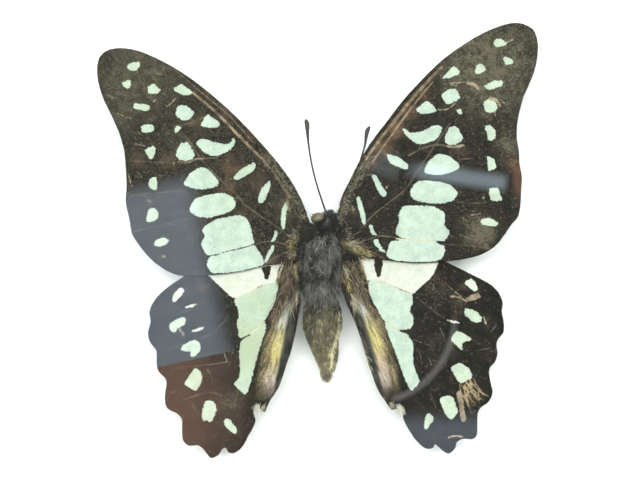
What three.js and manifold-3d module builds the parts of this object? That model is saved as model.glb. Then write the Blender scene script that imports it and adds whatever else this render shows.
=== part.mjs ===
// Framed butterfly specimen: a spread jay swallowtail behind glass in a small wooden box frame.
// Millimetres, +Z up. The frame stands on its lower edge and the glass faces -Y.
// The origin is the middle of the frame's footprint.
import * as THREE from 'three';
import { mergeVertices } from 'three/addons/utils/BufferGeometryUtils.js';
import Module from 'manifold-3d';

const wasm = await Module();
wasm.setup();

// Frame: outside size and rail section
const FRAME_WIDTH = 152;
const FRAME_HEIGHT = 127;
const FRAME_DEPTH = 30;
const RAIL_FACE = 12;
const RAIL_WALL = 6;
const LIP_THICKNESS = 4;
const OUTER_EDGE_RADIUS = 2;
const INNER_EDGE_RADIUS = 1.2;
const EDGE_SEGMENTS = 5;

// Air left between pieces that touch
const GAP = 0.3;

// Sheets stacked in the frame, from the glass to the back
const SHEET_WIDTH = FRAME_WIDTH - 2 * RAIL_WALL - 2 * GAP;
const SHEET_HEIGHT = FRAME_HEIGHT - 2 * RAIL_WALL - 2 * GAP;
const GLASS_THICKNESS = 2;
const SPACER_DEPTH = 14;
const SPACER_THICKNESS = 3;
const BOARD_THICKNESS = 3;
const PANEL_THICKNESS = 3;

// Where each sheet's front face lies
const FRONT = -FRAME_DEPTH / 2;
const GLASS_FRONT = FRONT + LIP_THICKNESS + GAP;
const SPACER_FRONT = GLASS_FRONT + GLASS_THICKNESS + GAP;
const BOARD_FRONT = SPACER_FRONT + SPACER_DEPTH + GAP;
const PANEL_FRONT = BOARD_FRONT + BOARD_THICKNESS + GAP;
const PANEL_BACK = PANEL_FRONT + PANEL_THICKNESS;

// Steel points that hold the back panel in
const POINT_THICKNESS = 0.6;
const POINT_WIDTH = 8;
const POINT_BURIED = 4;
const POINT_SHOWN = 6;
const POINT_SPACING = 80;

// Sawtooth hanger and its nails
const HANGER_LENGTH = 44;
const HANGER_HEIGHT = 8;
const HANGER_PLATE = 0.8;
const HANGER_STANDOFF = 1.6;
const HANGER_FOOT = 7;
const HANGER_DROP = 14;
const TOOTH_COUNT = 12;
const TOOTH_DEPTH = 1.6;
const NAIL_RADIUS = 0.7;
const NAIL_HEAD_RADIUS = 1.7;
const NAIL_HEAD_THICKNESS = 0.5;
const NAIL_IN_PANEL = 2.2;
const NAIL_HEAD_TAPER = 0.8;
const NAIL_SEGMENTS = 12;

// Wings: thin plates whose tips stand a little towards the glass
const WING_THICKNESS = 0.3;
const WING_RISE = 0.03;
const FOREWING_DEPTH = -1.0;
const HINDWING_DEPTH = -0.3;
const STEPS_PER_POINT = 3;

// Wing outlines from the body along the leading edge and back, as [across, up] from the board's centre
const FOREWING_LEFT = [
  [-1.8, 3.4], [-2.6, 5.6], [-4.2, 8.8], [-6.2, 11.7], [-8.6, 14.6], [-12.8, 19.15], [-17, 23],
  [-21, 26.1], [-25, 28.5], [-28.8, 30.15], [-31.6, 30.65], [-33.7, 30.35], [-35, 29.4],
  [-35.55, 27.6], [-35.4, 25.4], [-34.7, 22.9], [-33.3, 19.9], [-32.1, 17.2], [-31.3, 14.4],
  [-31, 11.6], [-30.85, 8.6], [-31, 6.1], [-30.4, 3.2], [-30, 1], [-28.9, -0.8], [-27.3, -2.75],
  [-25.6, -4.2], [-24.1, -5.1], [-22.3, -5.7], [-19.5, -5.75], [-16, -5.5], [-12.2, -4.95],
  [-8.8, -4.15], [-6, -3.8], [-4.2, -3.2], [-3.35, -2.2], [-3.1, -1], [-2.3, 0], [-1.55, 0.8],
  [-1.15, 1.6], [-1.35, 2.4],
];
const FOREWING_RIGHT = [
  [2.95, 3.6], [3.05, 5], [3.5, 7], [4.45, 9], [5.5, 11.1], [6.5, 13], [8.35, 15.95], [10.7, 19],
  [13.3, 22.4], [15.95, 25.3], [19.55, 28.8], [23.4, 31.55], [26.2, 33.15], [28.8, 34.2],
  [30.95, 34.65], [32.65, 34.4], [34.05, 33.5], [34.65, 32.05], [34.75, 30.3], [34.4, 27.6],
  [33.55, 25.2], [32.55, 22.95], [31.85, 20.5], [31.45, 18.2], [31.42, 16.2], [31.75, 14.2],
  [31.85, 12.2], [32.2, 10], [32.1, 8], [31.95, 5.4], [31.6, 3.75], [30.4, 2.25], [29.5, 0.9],
  [28.1, -0.85], [26.2, -2.15], [24.05, -2.85], [21.9, -3.25], [18.05, -3.6], [15.5, -3.72],
  [12.8, -3.55], [10.75, -3.3], [8, -3], [5.4, -2.5], [4, -1.9], [3.3, -0.9], [2.8, 0.2], [2.5, 1.1],
  [2.75, 2.3],
];
const HINDWING_LEFT = [
  [-3.4, -3], [-6.5, -1.9], [-12, -2.3], [-17, -3.4], [-20, -4.8], [-22.65, -6.35], [-24.95, -8],
  [-26.55, -9.7], [-27.3, -11.5], [-27.1, -13], [-27.55, -14.9], [-27.1, -16.5], [-26.2, -17.7],
  [-26.15, -19.6], [-25.9, -20.9], [-24.9, -22], [-24.55, -22.7], [-24.85, -25.2],
  [-24.45, -26.9], [-22.8, -27.85], [-22.1, -28.7], [-22.1, -30.2], [-21.9, -32.1], [-21, -32.9],
  [-19.4, -32.9], [-18.3, -33.95], [-17.5, -34.9], [-16.2, -34.4], [-15.6, -33.5],
  [-15.15, -33.3], [-14.7, -33.95], [-13.9, -34.15], [-12.7, -33.45], [-11.45, -31.4],
  [-10.3, -29], [-10.55, -27.6], [-9.8, -26.9], [-8.9, -27.6], [-8.2, -26.15], [-6.5, -23.4],
  [-5.45, -20.3], [-4.45, -17.25], [-3.5, -12.75], [-3.05, -9.6], [-3.3, -7], [-3.4, -5],
];
const HINDWING_RIGHT = [
  [3.4, -2.6], [7.5, -1.3], [12, -1.4], [16, -2], [18.5, -2.7], [21.4, -4.05], [24, -5.35],
  [27.45, -7.2], [28.7, -8.6], [29.25, -10.1], [29.1, -11.4], [29.4, -13.3], [29.3, -14.8],
  [28.4, -16], [28.25, -17], [28.4, -18.1], [28, -19.5], [27.25, -20.35], [27.05, -21.1],
  [27.3, -22.7], [27.6, -24.4], [27, -25.85], [25.7, -26.85], [25.25, -27.8], [25.2, -29.5],
  [25.1, -31.2], [24.4, -31.85], [22.9, -31.8], [21.9, -32.4], [21.7, -33.2], [20.6, -34.2],
  [19.2, -33.4], [18.4, -32.7], [18.1, -33.25], [17, -33.4], [15.55, -32.3], [14.3, -30.55],
  [13.4, -28.85], [13.15, -27.9], [12.4, -27.1], [11.5, -27.15], [10.45, -25.85], [9.3, -24.1],
  [8.5, -22.1], [7.4, -18.8], [6.1, -14.6], [5.1, -12.15], [4, -9.55], [3.4, -7.9], [3.3, -5.5],
];

// Rolled inner margin of each hindwing, as [across, up, half width, height]
const FOLD_LEFT = [
  [-4.1, -8.6, 0.5, 0.3], [-4.7, -11.2, 1.1, 0.8], [-5.5, -14.4, 1.4, 1], [-6.3, -17.6, 1.5, 1],
  [-7.3, -20.8, 1.5, 0.9], [-8.3, -23.8, 1.2, 0.7], [-9, -25.8, 0.6, 0.4],
];
const FOLD_RIGHT = [
  [4.5, -8, 0.5, 0.3], [6, -11, 1.1, 0.8], [7.4, -14.2, 1.4, 1], [8.5, -17.4, 1.5, 1],
  [9.6, -20.6, 1.5, 0.9], [10.7, -23.6, 1.2, 0.7], [11.5, -25.8, 0.5, 0.4],
];

// Body, as stations [across, depth, up, half width, half depth] from the board's centre
const THORAX = [
  [0.6, -0.2, 1.05, 1.3, 1.2], [0.4, -0.3, 0.2, 2.1, 2], [0.2, -0.4, -1.2, 2.75, 2.6],
  [0.05, -0.4, -3.5, 2.85, 2.8], [0.05, -0.2, -6, 2.6, 2.6], [0.15, 0.1, -8.2, 2, 2.2],
  [0.2, 0.2, -9, 1.5, 1.8],
];
const ABDOMEN = [
  [0.3, 0.5, -9.3, 2, 1.9], [0.35, 0.6, -10.2, 2.8, 2.4], [0.4, 0.7, -12.5, 3.1, 2.6],
  [0.38, 0.8, -14, 3.1, 2.5], [0.5, 0.9, -16.2, 2.45, 2.2], [0.95, 1, -18.4, 1.95, 1.8],
  [1.15, 1.1, -20.4, 1.25, 1.3], [0.95, 1.1, -21.9, 0.7, 0.8], [1.1, 1.1, -22.75, 0.25, 0.3],
];
const HEAD = [
  [0.9, -0.3, 1.35, 1.1, 1.1], [1, -0.4, 2.1, 1.55, 1.55], [1.05, -0.4, 3, 1.55, 1.6],
  [1.2, -0.3, 3.8, 1.25, 1.35], [1.35, -0.3, 4.3, 0.75, 0.7], [1.4, -0.3, 4.5, 0.3, 0.3],
];
const ANTENNA_LEFT = [
  [1, -1.85, 3.95, 0.16, 0.15], [0.68, -1.7, 5.2, 0.15, 0.15], [-0.2, -1.4, 7.83, 0.14, 0.14],
  [-0.96, -1.3, 10.5, 0.135, 0.135], [-1.55, -1.4, 13.35, 0.135, 0.135], [-1.9, -1.5, 15.9, 0.16, 0.15],
  [-2, -1.5, 17.4, 0.26, 0.2], [-2.07, -1.5, 18.5, 0.35, 0.25], [-2.2, -1.5, 19.1, 0.24, 0.17],
  [-2.24, -1.5, 19.3, 0.08, 0.08],
];
const ANTENNA_RIGHT = [
  [3.05, -0.2, 4.5, 0.12, 0.12], [3.75, -0.2, 6.5, 0.11, 0.11], [5.05, -0.2, 9.4, 0.1, 0.1],
  [6.2, -0.2, 12, 0.1, 0.1], [6.75, -0.3, 13.6, 0.13, 0.12], [7.17, -0.3, 15.1, 0.15, 0.14],
  [7.4, -0.4, 16.6, 0.24, 0.2], [7.58, -0.4, 17.5, 0.33, 0.24], [7.85, -0.4, 18.1, 0.2, 0.16],
  [7.95, -0.4, 18.25, 0.07, 0.07],
];
const FOLD_SIDES = 7;
const BODY_SIDES = 20;
const ANTENNA_SIDES = 6;
const STEPS_PER_STATION = 3;

// Eyes, as centre and half sizes: the head is rolled so that the left eye shows
const EYE_LEFT = { centre: [-0.25, -0.9, 3.4], half: [1.2, 1, 1.05] };
const EYE_RIGHT = { centre: [1.95, 0.5, 3.1], half: [0.7, 0.85, 0.8] };
const EYE_SEGMENTS = 14;
const EYE_RINGS = 10;

// Legs folded under the thorax, as [out from the middle, depth, up]; both sides are alike
const LEGS = [
  [[1.3, 1, -0.8], [2.8, 2.8, 0.6], [3, 3.8, -0.8], [3.6, 4.6, -3]],
  [[1.6, 1.2, -2.5], [3.6, 2.8, -3.5], [3, 4, -6.5], [2.2, 4.7, -9.3]],
  [[1.5, 1.2, -5], [3.2, 3, -6.5], [2.2, 4, -10], [1.2, 4.6, -13]],
];
const LEG_RADIUS = 0.22;
const LEG_SIDES = 6;
const LEG_STEPS = 9;

// Foam pad that the body is glued to
const PAD_SIZE = [2.2, 4.6];
const PAD_RADIUS = 0.6;
const PAD_CENTRE = [0.05, -3.4];
const PAD_FRONT = 2.75;
const PAD_CORNER_SEGMENTS = 4;

// Materials, coloured as the real pieces
const OAK = new THREE.MeshStandardMaterial({ color: 0xb98e5e, roughness: 0.55 });
const GLASS = new THREE.MeshStandardMaterial({
  color: 0xdfeee8, roughness: 0.05, transparent: true, opacity: 0.2,
});
const CARD = new THREE.MeshStandardMaterial({ color: 0xf6f5f1, roughness: 0.9 });
const HARDBOARD = new THREE.MeshStandardMaterial({ color: 0x8a6a48, roughness: 0.85 });
const STEEL = new THREE.MeshStandardMaterial({ color: 0xb4b4b2, roughness: 0.35, metalness: 1 });
const WING = new THREE.MeshStandardMaterial({ color: 0x2b2620, roughness: 0.8 });
const FUR = new THREE.MeshStandardMaterial({ color: 0x3a352e, roughness: 0.95 });
const ABDOMEN_FUR = new THREE.MeshStandardMaterial({ color: 0x5a5040, roughness: 0.95 });
const CHITIN = new THREE.MeshStandardMaterial({ color: 0x2c2824, roughness: 0.5 });
const EYE = new THREE.MeshStandardMaterial({ color: 0x8f8359, roughness: 0.3 });
const FOAM = new THREE.MeshStandardMaterial({ color: 0xf0efea, roughness: 0.95 });

// A closed mesh with only positions and shared vertices, ready to cut or join
const MERGE_DISTANCE = 1e-5;

function toSolid(geometry) {
  const bare = geometry.clone();
  bare.deleteAttribute('normal');
  bare.deleteAttribute('uv');
  const merged = mergeVertices(bare, MERGE_DISTANCE);
  return new wasm.Manifold(new wasm.Mesh({
    numProp: 3,
    vertProperties: new Float32Array(merged.attributes.position.array),
    triVerts: new Uint32Array(merged.index.array),
  }));
}

function toGeometry(solid) {
  const mesh = solid.getMesh();
  const geometry = new THREE.BufferGeometry();
  geometry.setAttribute('position', new THREE.BufferAttribute(mesh.vertProperties, 3));
  geometry.setIndex(new THREE.BufferAttribute(mesh.triVerts, 1));
  geometry.computeVertexNormals();
  return geometry;
}

function joined(geometries) {
  return toGeometry(geometries.map(toSolid).reduce((whole, piece) => whole.add(piece)));
}

function cut(geometry, cutters) {
  const whole = toSolid(geometry);
  return toGeometry(cutters.map(toSolid).reduce((rest, cutter) => rest.subtract(cutter), whole));
}

function block(width, depth, height, x, y, z) {
  return new THREE.BoxGeometry(width, depth, height).translate(x, y, z);
}

// Smooth values between hand-chosen stations; every station is kept
function smoothStations(stations, steps) {
  const columns = stations[0].map((_, column) => stations.map((station) => station[column]));
  const count = (stations.length - 1) * steps;
  return Array.from({ length: count + 1 }, (_, step) => columns.map((values) => {
    const at = Math.min(Math.floor(step / steps), values.length - 2);
    const before = values[Math.max(at - 1, 0)];
    const after = values[Math.min(at + 2, values.length - 1)];
    return catmullRom(step / steps - at, before, values[at], values[at + 1], after);
  }));
}

function catmullRom(t, p0, p1, p2, p3) {
  const startSlope = (p2 - p0) / 2;
  const endSlope = (p3 - p1) / 2;
  const cubic = 2 * p1 - 2 * p2 + startSlope + endSlope;
  const square = -3 * p1 + 3 * p2 - 2 * startSlope - endSlope;
  return cubic * t ** 3 + square * t ** 2 + startSlope * t + p1;
}

// A closed skin over rings that all have the same number of points, with a fan on each end
function skin(rings) {
  const sides = rings[0].length;
  const positions = rings.flat(2);
  const triangles = [];
  rings.slice(1).forEach((_, row) => {
    for (let side = 0; side < sides; side += 1) {
      const next = (side + 1) % sides;
      const low = row * sides;
      const high = low + sides;
      triangles.push(low + side, high + side, low + next, low + next, high + side, high + next);
    }
  });
  const lastRow = (rings.length - 1) * sides;
  for (let side = 1; side < sides - 1; side += 1) {
    triangles.push(0, side, side + 1);
    triangles.push(lastRow, lastRow + side + 1, lastRow + side);
  }
  const geometry = new THREE.BufferGeometry();
  geometry.setAttribute('position', new THREE.Float32BufferAttribute(positions, 3));
  geometry.setIndex(triangles);
  geometry.computeVertexNormals();
  return geometry;
}

// A round body: an upright stack of ellipses, given from the top down or from the bottom up
function roundBody(stations, sides) {
  const upwards = stations[0][2] < stations.at(-1)[2];
  const turn = upwards ? -1 : 1;
  return skin(smoothStations(stations, STEPS_PER_STATION).map(([x, y, z, halfWidth, halfDepth]) =>
    Array.from({ length: sides }, (_, side) => {
      const angle = turn * side / sides * 2 * Math.PI;
      return [x + halfWidth * Math.cos(angle), y + halfDepth * Math.sin(angle), z];
    })));
}

function ellipsoid({ centre, half }, grow) {
  return new THREE.SphereGeometry(1, EYE_SEGMENTS, EYE_RINGS)
    .scale(half[0] + grow, half[1] + grow, half[2] + grow)
    .translate(...centre);
}

// Frame rail along X with its outer face at z = 0 and mitred ends
function railSection() {
  const section = new THREE.Shape();
  section.moveTo(0, FRONT + OUTER_EDGE_RADIUS);
  section.absarc(OUTER_EDGE_RADIUS, FRONT + OUTER_EDGE_RADIUS, OUTER_EDGE_RADIUS, Math.PI, 1.5 * Math.PI);
  section.lineTo(RAIL_FACE - INNER_EDGE_RADIUS, FRONT);
  section.absarc(
    RAIL_FACE - INNER_EDGE_RADIUS, FRONT + INNER_EDGE_RADIUS,
    INNER_EDGE_RADIUS, 1.5 * Math.PI, 2 * Math.PI);
  section.lineTo(RAIL_FACE, FRONT + LIP_THICKNESS);
  section.lineTo(RAIL_WALL, FRONT + LIP_THICKNESS);
  section.lineTo(RAIL_WALL, -FRONT);
  section.lineTo(0, -FRONT);
  return section;
}

function rail(length, pointPlaces) {
  const extrusion = { depth: length, bevelEnabled: false, curveSegments: EDGE_SEGMENTS };
  const geometry = new THREE.ExtrudeGeometry(railSection(), extrusion);
  const positions = geometry.attributes.position;
  for (let i = 0; i < positions.count; i += 1) {
    const inward = positions.getX(i);
    const mitre = inward + GAP / 2;
    const along = positions.getZ(i) > 0 ? mitre - length / 2 : length / 2 - mitre;
    positions.setXYZ(i, along, positions.getY(i), inward);
  }
  const slots = pointPlaces.map((along) => block(
    POINT_WIDTH + 2 * GAP, POINT_THICKNESS + 2 * GAP, 2 * (POINT_BURIED + GAP),
    along, PANEL_BACK + GAP + POINT_THICKNESS / 2, RAIL_WALL));
  return cut(geometry, slots);
}

// Points sit in the upper and lower rails, evenly about the middle
const POINT_PLACES = [-POINT_SPACING / 2, POINT_SPACING / 2];

function point(along) {
  const length = POINT_BURIED + POINT_SHOWN;
  return block(POINT_WIDTH, POINT_THICKNESS, length,
    along, PANEL_BACK + GAP + POINT_THICKNESS / 2, RAIL_WALL - POINT_BURIED + length / 2);
}

function sheet(width, thickness, height, front) {
  return block(width, thickness, height, 0, front + thickness / 2, 0);
}

// Hanger and nails, at the top of the back panel
const HANGER_UP = SHEET_HEIGHT / 2 - HANGER_DROP;
const HANGER_BACK = PANEL_BACK + GAP + HANGER_STANDOFF;
const NAIL_OUT = HANGER_LENGTH / 2 - HANGER_FOOT / 2;

function nailHole(across) {
  const depth = HANGER_BACK - PANEL_BACK + NAIL_IN_PANEL + 2 * GAP;
  return new THREE.CylinderGeometry(NAIL_RADIUS + GAP, NAIL_RADIUS + GAP, depth, NAIL_SEGMENTS)
    .translate(across, HANGER_BACK + GAP - depth / 2, HANGER_UP);
}

function hanger() {
  const outline = new THREE.Shape();
  const half = HANGER_LENGTH / 2;
  const toothRun = HANGER_LENGTH - 2 * HANGER_FOOT;
  const pitch = toothRun / TOOTH_COUNT;
  outline.moveTo(half, HANGER_HEIGHT / 2);
  outline.lineTo(-half, HANGER_HEIGHT / 2);
  outline.lineTo(-half, -HANGER_HEIGHT / 2);
  for (let tooth = 0; tooth < TOOTH_COUNT; tooth += 1) {
    const start = -toothRun / 2 + tooth * pitch;
    outline.lineTo(start, -HANGER_HEIGHT / 2);
    outline.lineTo(start + pitch / 2, -HANGER_HEIGHT / 2 + TOOTH_DEPTH);
  }
  outline.lineTo(toothRun / 2, -HANGER_HEIGHT / 2);
  outline.lineTo(half, -HANGER_HEIGHT / 2);
  const plate = new THREE.ExtrudeGeometry(outline, { depth: HANGER_PLATE, bevelEnabled: false })
    .rotateX(Math.PI / 2)
    .translate(0, HANGER_BACK, HANGER_UP);
  const feet = [-NAIL_OUT, NAIL_OUT].map((across) => block(
    HANGER_FOOT, HANGER_STANDOFF, HANGER_HEIGHT, across, HANGER_BACK - HANGER_STANDOFF / 2, HANGER_UP));
  return cut(joined([plate, ...feet]), [-NAIL_OUT, NAIL_OUT].map(nailHole));
}

function nail(across) {
  const shank = HANGER_BACK + GAP - PANEL_BACK + NAIL_IN_PANEL;
  const profile = [
    [0, -shank], [NAIL_RADIUS, -shank], [NAIL_RADIUS, 0], [NAIL_HEAD_RADIUS, 0],
    [NAIL_HEAD_RADIUS * NAIL_HEAD_TAPER, NAIL_HEAD_THICKNESS], [0, NAIL_HEAD_THICKNESS],
  ].map(([radius, along]) => new THREE.Vector2(radius, along));
  return new THREE.LatheGeometry(profile, NAIL_SEGMENTS).translate(across, HANGER_BACK + GAP, HANGER_UP);
}

// Wings
function wingShape(points) {
  const curve = new THREE.CatmullRomCurve3(points.map(([x, z]) => new THREE.Vector3(x, z, 0)), true);
  const outline = curve.getPoints(points.length * STEPS_PER_POINT);
  outline.pop();
  return new THREE.Shape(outline.map(({ x, y }) => new THREE.Vector2(x, y)));
}

// Depth of a wing's middle plane, which rises towards the glass away from the body
function wingPlane(rootDepth, across) {
  return rootDepth - WING_RISE * Math.abs(across);
}

function wing(points, rootDepth) {
  const plate = new THREE.ExtrudeGeometry(wingShape(points), { depth: WING_THICKNESS, bevelEnabled: false })
    .rotateX(Math.PI / 2)
    .translate(0, WING_THICKNESS / 2, 0);
  const positions = plate.attributes.position;
  for (let i = 0; i < positions.count; i += 1) {
    positions.setY(i, positions.getY(i) + wingPlane(rootDepth, positions.getX(i)));
  }
  return plate;
}

// The rolled margin is a low mound on the wing's front whose flat base lies inside the wing
function foldMound(stations) {
  return skin(smoothStations(stations, STEPS_PER_STATION).map(([x, z, halfWidth, height]) =>
    Array.from({ length: FOLD_SIDES }, (_, side) => {
      const angle = side / (FOLD_SIDES - 1) * Math.PI;
      const across = x + halfWidth * Math.cos(angle);
      return [across, wingPlane(HINDWING_DEPTH, across) - height * Math.sin(angle), z];
    }).reverse()));
}

function hindwing(points, foldStations) {
  return joined([wing(points, HINDWING_DEPTH), foldMound(foldStations)]);
}

// Thorax with six folded legs grown to it
function leg(points, side) {
  const path = new THREE.CatmullRomCurve3(points.map(([out, y, z]) => new THREE.Vector3(side * out, y, z)));
  const section = new THREE.Shape(Array.from({ length: LEG_SIDES }, (_, corner) => {
    const angle = corner / LEG_SIDES * 2 * Math.PI;
    return new THREE.Vector2(LEG_RADIUS * Math.cos(angle), LEG_RADIUS * Math.sin(angle));
  }));
  return new THREE.ExtrudeGeometry(section, { steps: LEG_STEPS, extrudePath: path });
}

function thorax() {
  const legs = [-1, 1].flatMap((side) => LEGS.map((points) => leg(points, side)));
  return joined([roundBody(THORAX, BODY_SIDES), ...legs]);
}

function head() {
  return cut(roundBody(HEAD, BODY_SIDES), [EYE_LEFT, EYE_RIGHT].map((eye) => ellipsoid(eye, GAP)));
}

function pad() {
  const [halfWidth, halfHeight] = PAD_SIZE.map((size) => size / 2 - PAD_RADIUS);
  const outline = new THREE.Shape();
  outline.absarc(halfWidth, halfHeight, PAD_RADIUS, 0, Math.PI / 2);
  outline.absarc(-halfWidth, halfHeight, PAD_RADIUS, Math.PI / 2, Math.PI);
  outline.absarc(-halfWidth, -halfHeight, PAD_RADIUS, Math.PI, 1.5 * Math.PI);
  outline.absarc(halfWidth, -halfHeight, PAD_RADIUS, 1.5 * Math.PI, 2 * Math.PI);
  const depth = BOARD_FRONT - GAP - PAD_FRONT;
  const extrusion = { depth, bevelEnabled: false, curveSegments: PAD_CORNER_SEGMENTS };
  return new THREE.ExtrudeGeometry(outline, extrusion)
    .rotateX(Math.PI / 2)
    .translate(PAD_CENTRE[0], PAD_FRONT + depth, PAD_CENTRE[1]);
}

function addPiece(parent, name, geometry, material) {
  const mesh = new THREE.Mesh(geometry, material);
  mesh.name = name;
  parent.add(mesh);
  return mesh;
}

// A turn about Y carries the lower rail to the other three sides
function buildFrame(parent) {
  const sides = [
    ['bottom', FRAME_WIDTH, FRAME_HEIGHT, 0, POINT_PLACES],
    ['left', FRAME_HEIGHT, FRAME_WIDTH, Math.PI / 2, []],
    ['top', FRAME_WIDTH, FRAME_HEIGHT, Math.PI, POINT_PLACES],
    ['right', FRAME_HEIGHT, FRAME_WIDTH, -Math.PI / 2, []],
  ];
  sides.forEach(([name, length, across, turn, pointPlaces]) => {
    const side = new THREE.Group();
    side.rotation.y = turn;
    parent.add(side);
    const seat = new THREE.Group();
    seat.position.z = -across / 2;
    side.add(seat);
    addPiece(seat, `rail_${name}`, rail(length, pointPlaces), OAK);
    pointPlaces.forEach((along, i) => addPiece(seat, `point_${name}_${i + 1}`, point(along), STEEL));
  });
}

function buildSheets(parent) {
  addPiece(parent, 'glass', sheet(SHEET_WIDTH, GLASS_THICKNESS, SHEET_HEIGHT, GLASS_FRONT), GLASS);
  const sideHeight = SHEET_HEIGHT - 2 * (SPACER_THICKNESS + GAP);
  const longSpacer = sheet(SHEET_WIDTH, SPACER_DEPTH, SPACER_THICKNESS, SPACER_FRONT);
  const shortSpacer = sheet(SPACER_THICKNESS, SPACER_DEPTH, sideHeight, SPACER_FRONT);
  const spacerUp = (SHEET_HEIGHT - SPACER_THICKNESS) / 2;
  const spacerOut = (SHEET_WIDTH - SPACER_THICKNESS) / 2;
  addPiece(parent, 'spacer_top', longSpacer, CARD).position.z = spacerUp;
  addPiece(parent, 'spacer_bottom', longSpacer, CARD).position.z = -spacerUp;
  addPiece(parent, 'spacer_left', shortSpacer, CARD).position.x = -spacerOut;
  addPiece(parent, 'spacer_right', shortSpacer, CARD).position.x = spacerOut;
  addPiece(parent, 'mount_board', sheet(SHEET_WIDTH, BOARD_THICKNESS, SHEET_HEIGHT, BOARD_FRONT), CARD);
  const panel = sheet(SHEET_WIDTH, PANEL_THICKNESS, SHEET_HEIGHT, PANEL_FRONT);
  addPiece(parent, 'back_panel', cut(panel, [-NAIL_OUT, NAIL_OUT].map(nailHole)), HARDBOARD);
  addPiece(parent, 'hanger', hanger(), STEEL);
  addPiece(parent, 'hanger_nail_left', nail(-NAIL_OUT), STEEL);
  addPiece(parent, 'hanger_nail_right', nail(NAIL_OUT), STEEL);
}

function buildButterfly(parent) {
  addPiece(parent, 'forewing_left', wing(FOREWING_LEFT, FOREWING_DEPTH), WING);
  addPiece(parent, 'forewing_right', wing(FOREWING_RIGHT, FOREWING_DEPTH), WING);
  addPiece(parent, 'hindwing_left', hindwing(HINDWING_LEFT, FOLD_LEFT), WING);
  addPiece(parent, 'hindwing_right', hindwing(HINDWING_RIGHT, FOLD_RIGHT), WING);
  addPiece(parent, 'thorax', thorax(), FUR);
  addPiece(parent, 'abdomen', roundBody(ABDOMEN, BODY_SIDES), ABDOMEN_FUR);
  addPiece(parent, 'head', head(), FUR);
  addPiece(parent, 'eye_left', ellipsoid(EYE_LEFT, 0), EYE);
  addPiece(parent, 'eye_right', ellipsoid(EYE_RIGHT, 0), EYE);
  addPiece(parent, 'antenna_left', roundBody(ANTENNA_LEFT, ANTENNA_SIDES), CHITIN);
  addPiece(parent, 'antenna_right', roundBody(ANTENNA_RIGHT, ANTENNA_SIDES), CHITIN);
  addPiece(parent, 'mounting_pad', pad(), FOAM);
}

const specimen = new THREE.Group();
const centred = new THREE.Group();
centred.position.z = FRAME_HEIGHT / 2;
specimen.add(centred);
buildFrame(centred);
buildSheets(centred);
buildButterfly(centred);

export default specimen;
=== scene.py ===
# Framed butterfly specimen: a spread jay swallowtail behind glass in a small oak box frame.
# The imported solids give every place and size. This script adds the finishes, hair, light and camera.
import math
from collections import defaultdict
from functools import partial

import bmesh
import bpy
import numpy as np
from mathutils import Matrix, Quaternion, Vector
from mathutils.bvhtree import BVHTree
from mathutils.geometry import delaunay_2d_cdt


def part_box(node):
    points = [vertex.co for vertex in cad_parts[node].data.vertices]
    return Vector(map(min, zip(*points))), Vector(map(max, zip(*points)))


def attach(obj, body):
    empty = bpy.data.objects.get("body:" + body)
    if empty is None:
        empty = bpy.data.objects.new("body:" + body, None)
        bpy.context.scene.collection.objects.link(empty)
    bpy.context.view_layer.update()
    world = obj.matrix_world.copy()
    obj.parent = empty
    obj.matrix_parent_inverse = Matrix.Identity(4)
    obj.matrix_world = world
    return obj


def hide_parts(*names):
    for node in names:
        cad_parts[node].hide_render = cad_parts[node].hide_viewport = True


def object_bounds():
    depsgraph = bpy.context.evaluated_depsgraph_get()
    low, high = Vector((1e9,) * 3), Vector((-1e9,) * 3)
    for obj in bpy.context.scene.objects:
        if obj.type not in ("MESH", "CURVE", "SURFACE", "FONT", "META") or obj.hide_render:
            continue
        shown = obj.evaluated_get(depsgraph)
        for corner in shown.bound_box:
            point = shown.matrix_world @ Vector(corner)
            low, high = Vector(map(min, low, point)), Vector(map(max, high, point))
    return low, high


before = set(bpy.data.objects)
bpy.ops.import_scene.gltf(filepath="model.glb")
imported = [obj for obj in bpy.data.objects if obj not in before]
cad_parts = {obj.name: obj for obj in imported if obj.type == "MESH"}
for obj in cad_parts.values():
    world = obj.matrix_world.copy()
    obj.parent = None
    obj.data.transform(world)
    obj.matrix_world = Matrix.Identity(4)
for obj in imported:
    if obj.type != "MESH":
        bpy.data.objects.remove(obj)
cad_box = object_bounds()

MM = 0.001
SEED = 7

# Centre of the mount board: markings are given from here
board_low, board_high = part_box("mount_board")
CENTRE_X = (board_low.x + board_high.x) / 2
CENTRE_Z = (board_low.z + board_high.z) / 2

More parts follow.
